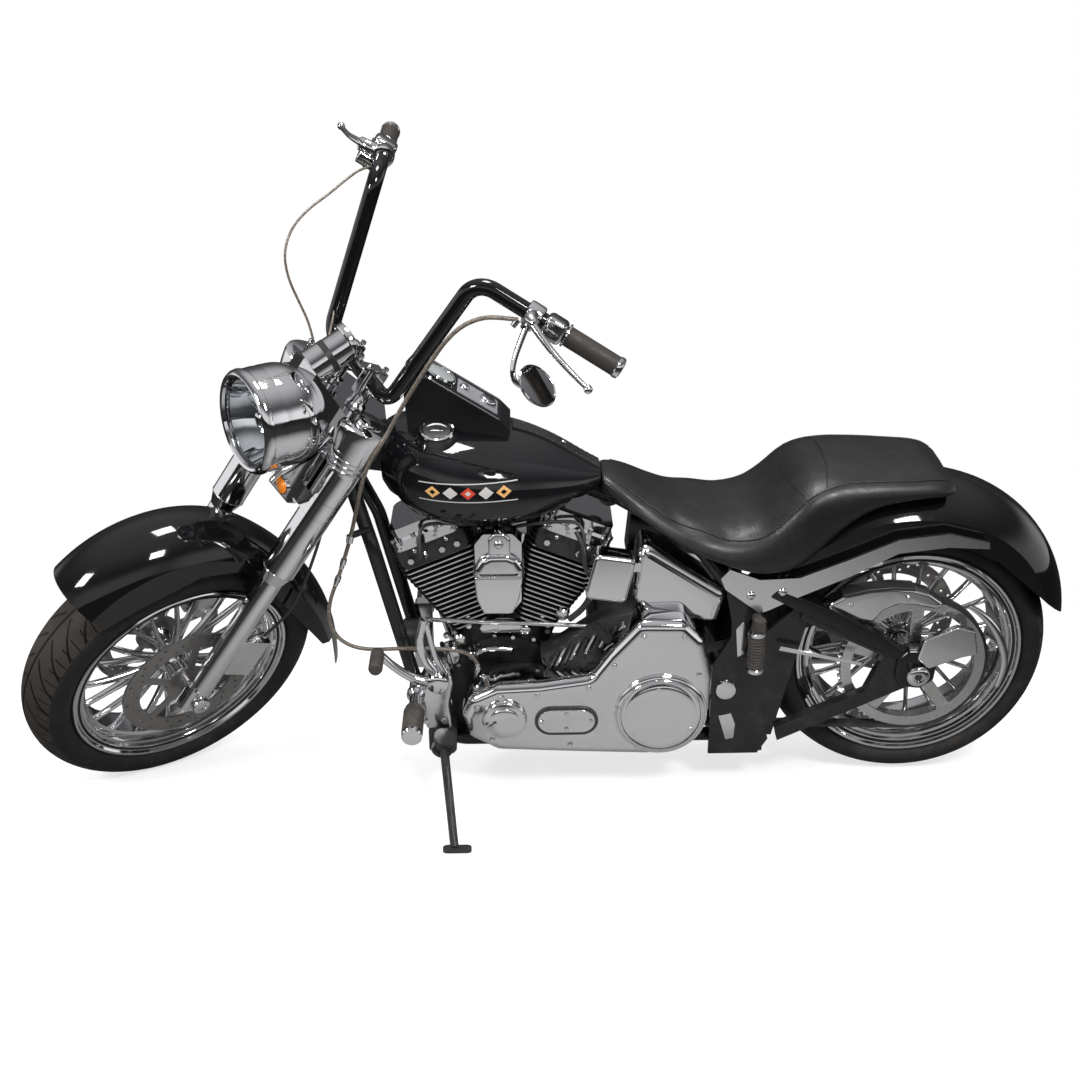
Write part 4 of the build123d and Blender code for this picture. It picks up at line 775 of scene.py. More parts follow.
    def spread(self, name: str, on: Body, finish: str, kind: str, points: Sequence[Point], facing: object,
               radius: float, height: float) -> bpy.types.Object:
        """Fastener heads or rings at many points, by Geometry Nodes.

        Args:
            name: the piece's name.
            on: its body.
            finish: its finish.
            kind: which tree.
            points: where they sit, in mm in the body's frame.
            facing: one direction for all, or one a point.
            radius: head or ring radius in mm.
            height: head height or ring thickness in mm.

        Returns:
            The piece.
        """
        made = bpy.data.meshes.new(name)
        made.from_pydata([tuple(on.place @ (Vector(p) * MM)) for p in points], [], [])
        turn = on.place.to_3x3()
        ways = [facing] * len(points) if not hasattr(facing[0], "__len__") else facing
        values = made.attributes.new("facing", "FLOAT_VECTOR", "POINT")
        for item, way in zip(values.data, ways):
            item.vector = (turn @ Vector(way)).normalized()
        holder = bpy.data.objects.new(name + "_points", made)
        bpy.context.scene.collection.objects.link(holder)
        modifier = holder.modifiers.new("spread", "NODES")
        modifier.node_group = self.trees[kind]
        sockets = {item.name: item.identifier for item in self.trees[kind].interface.items_tree if item.in_out == "INPUT"}
        modifier[sockets["Radius"]] = radius * MM
        modifier[sockets["Height"]] = height * MM
        modifier[sockets["Finish"]] = self.shop.made[finish]
        bpy.context.view_layer.update()
        plain = bpy.data.meshes.new_from_object(holder.evaluated_get(bpy.context.evaluated_depsgraph_get()))
        bpy.data.objects.remove(holder)
        piece = bpy.data.objects.new(name, plain)
        bpy.context.scene.collection.objects.link(piece)
        self.shop.dress(piece, finish)
        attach(piece, on.body)
        self.count += 1
        return piece

    def block(self, name: str, on: Body, finish: str, frame_at: Matrix, size: Point, bevel: float = 3.0) -> bpy.types.Object:
        """A block with rounded edges, centred in a frame of its own.

        Args:
            name: the piece's name.
            on: its body.
            finish: its finish.
            frame_at: the block's frame within the body's, with its offset in mm.
            size: its three sizes in mm.
            bevel: the rounding in mm.

        Returns:
            The piece.
        """
        build = bmesh.new()
        bmesh.ops.create_cube(build, size=1.0)
        for vert in build.verts:
            vert.co = Vector(c * s * MM for c, s in zip(vert.co, size))
        bmesh.ops.bevel(build, geom=list(build.edges), offset=bevel * MM, segments=4, affect="EDGES", profile=0.5)
        made = self.mesh(name, build)
        move = frame_at.copy()
        move.translation = move.translation * MM
        made.transform(move)
        return self.link(name, made, on, finish)


class Surface:
    """The skin of a solid, for pieces that lie on it."""

    def __init__(self, piece: bpy.types.Object, place: Matrix) -> None:
        """Reads the piece's triangles into a search tree, in a body's frame."""
        back = place.inverted()
        points = [back @ vert.co for vert in piece.data.vertices]
        self.tree = BVHTree.FromPolygons(points, [tuple(face.vertices) for face in piece.data.polygons])

    def below(self, x: float, y: float, start: float = 1400.0) -> Optional[tuple[Vector, Vector]]:
        """The skin's point under (x, y) and its outward direction, in mm."""
        hit, normal, _, _ = self.tree.ray_cast(Vector((x, y, start)) * MM, Vector((0, 0, -1)))
        if hit is None:
            return None
        return hit / MM, normal if normal.z > 0 else -normal


# ----------------------------------------------------------------------------------------------------------------------
# The studio
# ----------------------------------------------------------------------------------------------------------------------
@dataclass(frozen=True)
class Lamp:
    """A soft light: where it hangs, what it faces, its sides and its power."""

    name: str
    place: Point
    towards: Point
    size: float
    watts: float

    def hang(self) -> None:
        """Adds the light."""
        data = bpy.data.lights.new(self.name, "AREA")
        data.shape, data.size, data.energy = "SQUARE", self.size, self.watts
        lamp = bpy.data.objects.new(self.name, data)
        lamp.location = self.place
        lamp.rotation_euler = (Vector(self.towards) - Vector(self.place)).to_track_quat("-Z", "Y").to_euler()
        bpy.context.scene.collection.objects.link(lamp)


@dataclass
class Studio:
    """The camera, the soft lights and the pale floor."""

    camera_at: Point = (0.8430563, 3.2407180, 1.3654511)
    yaw: float = -0.0127334
    pitch: float = 0.2541059
    roll: float = -0.0119722
    focal: float = 1496.1831
    frame_px: float = 1080.0
    lamps: tuple[Lamp, ...] = (
        Lamp("key", (-1.4, 3.4, 3.4), (0.0, 0.0, 0.5), 0.9, 150.0),
        Lamp("fill", (3.0, 2.4, 2.4), (0.2, 0.0, 0.5), 0.8, 80.0),
        Lamp("top", (0.2, 0.2, 3.6), (0.0, 0.0, 0.4), 0.8, 60.0),
    )

    def set_camera(self) -> None:
        """Stands the camera where the parked bike is seen from its left."""
        ahead = Vector((sin(self.yaw) * cos(self.pitch), -cos(self.yaw) * cos(self.pitch), -sin(self.pitch)))
        right = ahead.cross(Vector((0, 0, 1))).normalized()
        up = right.cross(ahead)
        side = right * cos(self.roll) + up * sin(self.roll)
        top = up * cos(self.roll) - right * sin(self.roll)
        turn = Matrix((side, top, -ahead)).transposed().to_4x4()
        data = bpy.data.cameras.new("camera")
        data.sensor_width = 36.0
        data.lens = 36.0 * self.focal / self.frame_px
        camera = bpy.data.objects.new("camera", data)
        camera.matrix_world = (UPRIGHT @ Matrix.Rotation(radians(12), 4, "X") @ Matrix.Translation(self.camera_at) @ turn)
        bpy.context.scene.collection.objects.link(camera)
        bpy.context.scene.camera = camera

    def set_world(self) -> None:
        """A white backdrop for the camera, and a softer room with a dark band for what reflects."""
        world = bpy.data.worlds.new("room")
        bpy.context.scene.world = world
        world.use_nodes = True
        tree = Tree(world.node_tree)
        world.node_tree.nodes.clear()
        up = tree.add("ShaderNodeSeparateXYZ", {0: tree.add("ShaderNodeTexCoord").outputs["Generated"]}).outputs
        ahead = tree.mix(tree.ramp(up[1], 0.55, 0.93), (0.04, 0.04, 0.042), (0.80, 0.80, 0.81))
        low = tree.mix(tree.ramp(tree.math("ABSOLUTE", up[0]), 0.60, 0.86), ahead, (0.95, 0.95, 0.96))
        high = tree.mix(tree.ramp(up[2], 0.45, 0.95), (0.10, 0.10, 0.105), (0.55, 0.55, 0.56))
        sides = tree.mix(tree.ramp(up[2], 0.18, 0.42), low, high)
        path = tree.add("ShaderNodeLightPath")
        soft = tree.mix(path.outputs["Is Glossy Ray"], (0.92, 0.92, 0.93), sides)
        shown = tree.mix(path.outputs["Is Camera Ray"], soft, (1.0, 1.0, 1.0))
        power = 1.0
        glow = tree.add("ShaderNodeBackground", {"Color": shown, "Strength": power})
        end = tree.add("ShaderNodeOutputWorld")
        world.node_tree.links.new(glow.outputs[0], end.inputs[0])

    def lay_floor(self) -> None:
        """A plain pale floor that keeps the shadow; what reflections and bounce light see of it is painted shade,
        darkening to near black away from the bike.
        """
        mesh = bpy.data.meshes.new("floor")
        mesh.from_pydata([(-30, -30, 0), (30, -30, 0), (30, 30, 0), (-30, 30, 0)], [], [(0, 1, 2, 3)])
        floor = bpy.data.objects.new("floor", mesh)
        bpy.context.scene.collection.objects.link(floor)
        material = bpy.data.materials.new("floor")
        material.use_nodes = True
        tree = Tree(material.node_tree)
        material.node_tree.nodes.clear()
        path = tree.add("ShaderNodeLightPath").outputs["Is Camera Ray"]
        spot = tree.add("ShaderNodeTexCoord").outputs["Object"]
        far = tree.add("ShaderNodeVectorMath", {0: spot}, operation="LENGTH").outputs["Value"]
        # Painted shade: for all but camera rays the floor's colour fades from 0.29 near the bike to 0.02 far off, for
        # the chrome to reflect.
        shade = tree.mix(tree.ramp(far, 0.45, 1.7), (0.29, 0.29, 0.29), (0.02, 0.02, 0.02))
        plain = tree.add("ShaderNodeBsdfDiffuse", {"Color": shade})
        soft = tree.add("ShaderNodeBsdfDiffuse", {"Color": (0.40, 0.40, 0.40, 1)})
        glow = tree.add("ShaderNodeEmission", {"Color": (1, 1, 1, 1), "Strength": 0.68})
        near = tree.add("ShaderNodeAddShader", {0: soft.outputs[0], 1: glow.outputs[0]})
        white = tree.add("ShaderNodeEmission", {"Color": (1, 1, 1, 1), "Strength": 1.0})
        seen = tree.add("ShaderNodeMixShader", {0: tree.ramp(far, 1.0, 2.2), 1: near.outputs[0], 2: white.outputs[0]})
        both = tree.add("ShaderNodeMixShader", {0: path, 1: plain.outputs[0], 2: seen.outputs[0]})
        end = tree.add("ShaderNodeOutputMaterial")
        material.node_tree.links.new(both.outputs[0], end.inputs[0])
        mesh.materials.append(material)

    def build(self) -> None:
        """Sets up the whole studio."""
        bpy.context.scene.view_settings.view_transform = "Standard"
        self.set_camera()
        self.set_world()
        self.lay_floor()
        for lamp in self.lamps:
            lamp.hang()


# ----------------------------------------------------------------------------------------------------------------------
# The bike's sub-assemblies
# ----------------------------------------------------------------------------------------------------------------------
@dataclass
class Carried:
    """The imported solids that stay, each with its finish."""

    finishes: dict[str, str] = field(default_factory=lambda: {
        "frame": "frame_black", "swingarm": "frame_black", "engine_cases": "case_black", "cylinders": "fin_black",
        "rocker_boxes": "chrome", "cam_cover": "chrome", "air_cleaner": "chrome", "exhaust": "chrome",
        "engine_covers": "chrome", "primary_case": "chrome", "front_pulley": "pulley_steel", "drive_belt": "belt_rubber",
        "belt_guard": "polished_alloy", "oil_tank": "chrome", "fuel_tank": "tank_black", "dash": "console_black",
        "dash_strap": "strap_leather", "rear_fender": "gloss_black", "strut_covers": "polished_alloy", "rear_axle": "chrome",
        "rear_caliper": "worn_chrome", "plate_bracket": "polished_alloy", "left_control": "polished_alloy",
        "right_control": "polished_alloy", "pillion_pegs": "peg_rubber", "stand_bracket": "satin_black",
        "side_stand": "satin_black", "yokes": "chrome", "fork_legs": "chrome", "fork_covers": "chrome",
        "nacelle": "chrome", "headlamp_shell": "chrome", "headlamp_lens": "lamp_glass", "turn_lights": "amber_lens",
        "front_axle": "chrome", "front_calipers": "worn_chrome", "front_fender": "gloss_black", "handlebar": "gloss_black",
        "risers": "chrome", "instrument": "chrome", "grips": "grip_rubber", "rear_tyre": "rear_tyre_rubber",
        "front_tyre": "front_tyre_rubber", "rear_wheel": "chrome", "front_wheel": "chrome", "rear_pulley": "pulley_steel",
        "rear_disc": "disc_steel", "front_discs": "disc_steel"})

    def dress(self, shop: Shop) -> None:
        """Sets each solid's material."""
        for node, finish in self.finishes.items():
            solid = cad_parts[node]
            solid.data.materials.clear()
            solid.data.materials.append(shop.made[finish])


@dataclass
class Cables:
    """The cables and hoses that the bike holds along their whole way."""

    clutch_upper: tuple[Point, ...] = ((66, 265, 1459), (97, 250, 1446), (117, 233, 1428), (129, 214, 1392), (128, 201, 1346),
                                       (118, 191, 1292), (107, 181, 1230), (94, 173, 1166), (79, 166, 1112))
    clutch_lower: tuple[Point, ...] = ((1115, 186, 873), (1135, 182, 843), (1153, 169, 802), (1167, 151, 751), (1179, 133, 703),
                                       (1190, 118, 659), (1201, 108, 620), (1213, 106, 583), (1229, 107, 537), (1248, 109, 492),
                                       (1256, 111, 446), (1243, 114, 401), (1208, 118, 376), (1162, 120, 370), (1112, 121, 373),
                                       (1062, 119, 371), (1014, 113, 366), (974, 106, 354), (950, 101, 337), (941.7, 100, 314))
    throttle: tuple[Point, ...] = ((60, -272, 1460), (98, -262, 1452), (137, -242, 1424), (180, -216, 1390), (226, -192, 1358),
                                   (258, -170, 1318), (264, -146, 1274), (242, -124, 1236), (206, -104, 1204), (168, -84, 1172),
                                   (146, -70, 1142))
    brake_hose: tuple[Point, ...] = ((2, 60, 863), (-8, 74, 822), (-12, 92, 776), (-21, 99, 729), (-34, 101, 681), (-46, 100, 633),
                                     (-52, 99, 584), (-44, 97, 536), (-31, 95, 503.5))

    def build(self, maker: Maker) -> None:
        """Makes the clutch cable, which runs across the steering, and the fork's own lines."""
        back = Body.CHASSIS.place.inverted() @ Body.FORK.place
        upper = [tuple((back @ (Vector(p) * MM)) / MM) for p in self.clutch_upper]
        clutch = maker.bar("clutch_cable", Body.CHASSIS, "cable_braid", [*upper, *self.clutch_lower], 4.3, ride=False)
        start = UPRIGHT @ (Vector(upper[-1]) * MM)
        end = UPRIGHT @ (Vector(self.clutch_lower[6]) * MM)
        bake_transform(clutch)
        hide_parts("chassis_cables")
        lines = [maker.bar("throttle_line", Body.FORK, "cable_braid", self.throttle, 2.5),
                 maker.bar("brake_hose", Body.FORK, "cable_black", self.brake_hose, 3.4)]
        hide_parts("fork_cables")
        maker.bar("throttle_return", Body.FORK, "cable_braid",
                  [(58, -252, 1460), (88, -214, 1440), (112, -178, 1380), (108, -160, 1300), (98, -142, 1230), (92, -112, 1180),
                   (110, -70, 1140)], 2.2)
        for name, on, spots, size in (
                ("clutch_ferrules", Body.FORK, [(66, 265, 1459), (150, -72, 1146)], 6.2),
                ("cable_clips", Body.CHASSIS, [(1196, 113, 640)], 8.0)):
            maker.spread(name, on, "chrome", "round", spots, (0.2, 0.1, -1.0), size, 16)
        for i, (low, high) in enumerate((((1213, 106, 583), (1221, 106, 560)), ((1227, 107, 543), (1235, 108, 523)))):
            way = (Vector(high) - Vector(low)).normalized()
            maker.turned(f"clutch_adjuster_{i}", Body.CHASSIS, "chrome", low, tuple(way),
                         [(4.4, 0), (6.4, 1), (6.4, 14), (5.2, 15), (5.2, 22), (4.4, 24)], 18)


@dataclass
class Seat:
    """The two-up seat: padded leather with panel seams, on the space its solid holds."""

    pressure: float = 1.6
    cap: float = 0.007
    rows: tuple[tuple[float, float, float, float, float], ...] = (
        (682, 40, 706, 724, 736), (672, 58, 700, 724, 741), (655, 72, 692, 713, 735), (620, 94, 674, 692, 718),
        (579, 116, 648, 666, 694), (520, 146, 618, 636, 670), (473, 168, 596, 620, 659), (412, 180, 574, 606, 651),
        (365, 182, 556, 610, 658), (330, 181, 549, 628, 677), (300, 178, 549, 654, 704), (275, 173, 552, 680, 731),
        (250, 167, 566, 698, 748), (224, 160, 592, 709, 757), (190, 153, 628, 717, 763), (150, 147, 664, 722, 764),
        (100, 142, 692, 724, 763), (50, 137, 702, 724, 760), (0, 131, 706, 723, 757), (-28, 126, 707, 721, 752),
        (-46, 118, 709, 718, 743), (-56, 108, 713, 716, 728), (-60, 98, 716, 718, 720))

    def station(self, x: float) -> tuple[float, float, float, float]:
        """The half width, underside, edge and crown at one x, smooth between the rows."""
        rows = self.rows
        k = next((i for i in range(len(rows) - 1) if rows[i][0] >= x >= rows[i + 1][0]), len(rows) - 2)
        t = (x - rows[k][0]) / (rows[k + 1][0] - rows[k][0])
        before, after = rows[max(k - 1, 0)], rows[min(k + 2, len(rows) - 1)]
        found = []
        for c in range(1, 5):
            a, b, d, e = before[c], rows[k][c], rows[k + 1][c], after[c]
            found.append(0.5 * (2 * b + (d - a) * t + (2 * a - 5 * b + 4 * d - e) * t * t + (3 * b - a - 3 * d + e) * t ** 3))
        return tuple(found)

    def base(self, maker: Maker) -> bpy.types.Object:
        """The pad's closed skin, lofted through its sections from the nose to the tail."""
        count, rings = 74, []
        for i in range(count + 1):
            x = self.rows[0][0] + (self.rows[-1][0] - self.rows[0][0]) * i / count
            half, low, edge, top = self.station(x)
            arch = []
            for k in range(25):
                a = pi * k / 24
                across, up = cos(a), sin(a)
                arch.append((x, half * (abs(across) ** 0.72) * (1 if across > 0 else -1), edge + (top - edge) * up ** 0.8))
            side = [(half * 0.93, low), (half * 0.99, low + (edge - low) * 0.18), (half * 1.015, low + (edge - low) * 0.5),
                    (half * 1.01, low + (edge - low) * 0.8)]
            left = [(x, y, z) for y, z in side]
            right = [(x, -y, z) for y, z in reversed(side)]
            under = [(x, half * 0.93 * (-1 + 2 * k / 9), low) for k in range(1, 9)]
            rings.append([*left, *arch, *right, *under])
        pad = maker.loft("seat_pad", Body.CHASSIS, "seat_leather", [rings], ride=False)
        ease = pad.modifiers.new("ease", "SMOOTH")
        ease.factor, ease.iterations = 0.5, 3
        return self.settle(pad)

    def settle(self, pad: bpy.types.Object) -> bpy.types.Object:
        """Applies a piece's modifiers."""
        bpy.context.view_layer.update()
        made = bpy.data.meshes.new_from_object(pad.evaluated_get(bpy.context.evaluated_depsgraph_get()))
        pad.modifiers.clear()
        pad.data = made
        return pad

    def swell(self, pad: bpy.types.Object) -> None:
        """Fills the pad from inside; its underside stays where it rests."""
        before = [vert.co.copy() for vert in pad.data.vertices]
        up = UPRIGHT.to_3x3() @ Vector((0, 0, 1))
        pinned = pad.vertex_groups.new(name="underside")
        pinned.add([v.index for v in pad.data.vertices if v.normal.dot(up) < -0.15], 1.0, "REPLACE")
        cloth = pad.modifiers.new("swell", "CLOTH")
        given = cloth.settings
        given.quality, given.mass = 5, 0.3
        given.use_pressure, given.uniform_pressure_force = True, self.pressure
        given.effector_weights.gravity = 0
        given.vertex_group_mass = "underside"
        given.tension_stiffness = given.compression_stiffness = 12
        cloth.point_cache.frame_end = 20
        for step in range(1, 21):
            bpy.context.scene.frame_set(step)
        self.settle(pad)
        for vert, start in zip(pad.data.vertices, before):
            move = vert.co - start
            if move.length > self.cap:
                vert.co = start + move.normalized() * self.cap
        bpy.context.scene.frame_set(1)
        ease = pad.modifiers.new("ease", "SMOOTH")
        ease.factor, ease.iterations = 0.5, 8
        self.settle(pad)

    def build(self, maker: Maker) -> None:
        """Makes the pad, then lays its seams and piping on it."""
        pad = self.base(maker)
        self.swell(pad)
        pad.data.shade_smooth()
        maker.shop.dress(pad, "seat_leather")
        fine = pad.modifiers.new("fine", "SUBSURF")
        fine.levels = fine.render_levels = 1
        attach(pad, "chassis")
        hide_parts("seat")
        self.seams(maker, Surface(pad, UPRIGHT))

    def seams(self, maker: Maker, skin: Surface) -> None:
        """Piping that follows the panels of the leather."""
        half = {"left": 1, "right": -1}
        routes = {f"seam_{name}": [(652, 52 * k), (579, 88 * k), (500, 122 * k), (420, 148 * k), (350, 158 * k), (300, 156 * k),
                                   (268, 150 * k)] for name, k in half.items()}
        routes |= {f"seam_pillion_{name}": [(262, 148 * k), (222, 136 * k), (170, 126 * k), (100, 122 * k), (30, 116 * k),
                                            (-20, 106 * k), (-42, 92 * k)] for name, k in half.items()}
        routes["seam_across"] = [(262, -148), (280, -100), (287, -50), (289, 0), (287, 50), (280, 100), (262, 148)]
        routes["seam_pillion_front"] = [(222, -136), (212, -70), (208, 0), (212, 70), (222, 136)]
        for name, route in routes.items():
            spots = [(x0 + (x1 - x0) * i / 4, y0 + (y1 - y0) * i / 4) for (x0, y0), (x1, y1) in zip(route, route[1:]) for i in range(4)]
            found = [skin.below(*spot) for spot in [*spots, route[-1]]]
            maker.bar(name, Body.CHASSIS, "piping", [tuple(hit[0] + hit[1] * 0.4) for hit in found if hit], 1.5)


@dataclass
class Tank:
    """The fuel tank's console, gauge, caps and studded strap."""

    slope_start: tuple[float, float] = (1020, 957)
    slope_end: tuple[float, float] = (883, 868)

    def on_slope(self, share: float, y: float, lift: float = 0.0) -> Point:
        """A point on the console's sloping top, a share of the way back."""
        (x0, z0), (x1, z1) = self.slope_start, self.slope_end
        return x0 + (x1 - x0) * share - 0.545 * lift, y, z0 + (z1 - z0) * share + 0.839 * lift

    def build(self, maker: Maker) -> None:
        """Dresses the tank."""
        normal = (-0.545, 0, 0.839)
        tank = Surface(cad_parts["fuel_tank"], UPRIGHT)
        turn = Matrix(((0.839, 0, -0.545), (0, 1, 0), (0.545, 0, 0.839))).to_4x4()
        turn.translation = Vector(self.on_slope(0.66, 0, 0.6))
        maker.block("console_panel", Body.CHASSIS, "grey_panel", turn, (96, 74, 2.4), 1.0)
        for side in (57, -57):
            maker.bar(f"console_edge_{side}", Body.CHASSIS, "chrome", [self.on_slope(k, side, 0.4) for k in (0.02, 0.5, 0.98)], 1.6)
        for name, share, y, radius, glass in (("console_glass", 0.10, 0, 34, True), ("console_knob", 0.46, 0, 9, False),
                                              ("key_switch", 0.8, 0, 17, False)):
            maker.turned(name + "_rim", Body.CHASSIS, "chrome", self.on_slope(share, y, 1.0), normal,
                         [(radius - 3, 0), (radius + 3, 0), (radius + 3.5, 3), (radius + 1, 7), (radius - 2, 6), (radius - 3, 2)] if glass
                         else [(radius + 2, 0), (radius + 2, 4), (radius, 8), (radius - 4, 10), (0, 10)], 40)
            if glass:
                maker.turned(name, Body.CHASSIS, "milky_glass", self.on_slope(share, y, 1.0), normal,
                             [(radius - 2.5, 0), (radius - 2.5, 4), (radius * 0.6, 6), (0, 7)], 40)
        maker.turned("key_slot", Body.CHASSIS, "satin_black", self.on_slope(0.8, 0, 11.0), normal, [(6, 0), (6, 1.5), (0, 1.5)], 24)
        hit, way = tank.below(1012, 70)
        maker.turned("fuel_gauge_boss", Body.CHASSIS, "tank_black", tuple(hit - way * 8), tuple(way), [(52, 0), (44, 8), (38, 14), (35, 18), (0, 18)], 48)
        hit = hit + way * 9
        maker.turned("fuel_gauge_rim", Body.CHASSIS, "chrome", tuple(hit - way * 4), tuple(way),
                     [(28, 0), (35, 0), (37, 5), (35, 8.5), (31, 9.5), (28, 8), (28, 5)], 56)
        maker.turned("fuel_gauge_face", Body.CHASSIS, "satin_black", tuple(hit - way * 3), tuple(way), [(29, 0), (29, 6), (0, 6)], 48)
        along = Vector((0, 1, 0)).cross(way).normalized()
        inward = along.cross(way) * (1 if along.cross(way).y < 0 else -1)
        maker.bar("fuel_gauge_scale", Body.CHASSIS, "dial_face",
                  [tuple(hit + way * 2.6 + along * k * 20 + inward * (17 - abs(k) * abs(k) * 9)) for k in (-1, -0.5, 0, 0.5, 1)], [0.8, 2.4, 3.2, 2.4, 0.8])
        maker.bar("fuel_gauge_hand", Body.CHASSIS, "worn_chrome", [tuple(hit + way * 2.8 + along * k * 12 - inward * 4) for k in (-1, 0, 1)], [1, 1.8, 1])
        hit, way = tank.below(1010, -84)
        maker.turned("fuel_cap", Body.CHASSIS, "chrome", tuple(hit - way * 6), tuple(way),
                     [(30, 0), (34, 6), (34, 12), (31, 17), (20, 20), (0, 21)], 48)
        self.strap(maker, tank)

    def strap(self, maker: Maker, tank: Surface) -> None:
        """Studs down both edges of the strap, and its stitching."""
        strap = Surface(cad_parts["dash_strap"], UPRIGHT)
        spots, ways = [], []
        for i in range(15):
            for y in (-17.5, 17.5):
                found = strap.below(690 + i * 11.6, y)
                if found:
                    spots.append(tuple(found[0]))
                    ways.append(tuple(found[1]))
        maker.spread("strap_studs", Body.CHASSIS, "strap_leather", "dome", spots, ways, 3.2, 1.6)
        button = strap.below(752, 0)
        if button:
            maker.spread("strap_button", Body.CHASSIS, "chrome", "dome", [tuple(button[0])], tuple(button[1]), 6, 4)
        for side in (-9, 9):
            line = [strap.below(688 + i * 8.5, side) for i in range(20)]
            line = [tuple(found[0] + found[1] * 0.3) for found in line if found]
            maker.bar(f"strap_seam_{'left' if side > 0 else 'right'}", Body.CHASSIS, "piping", line, 0.9)


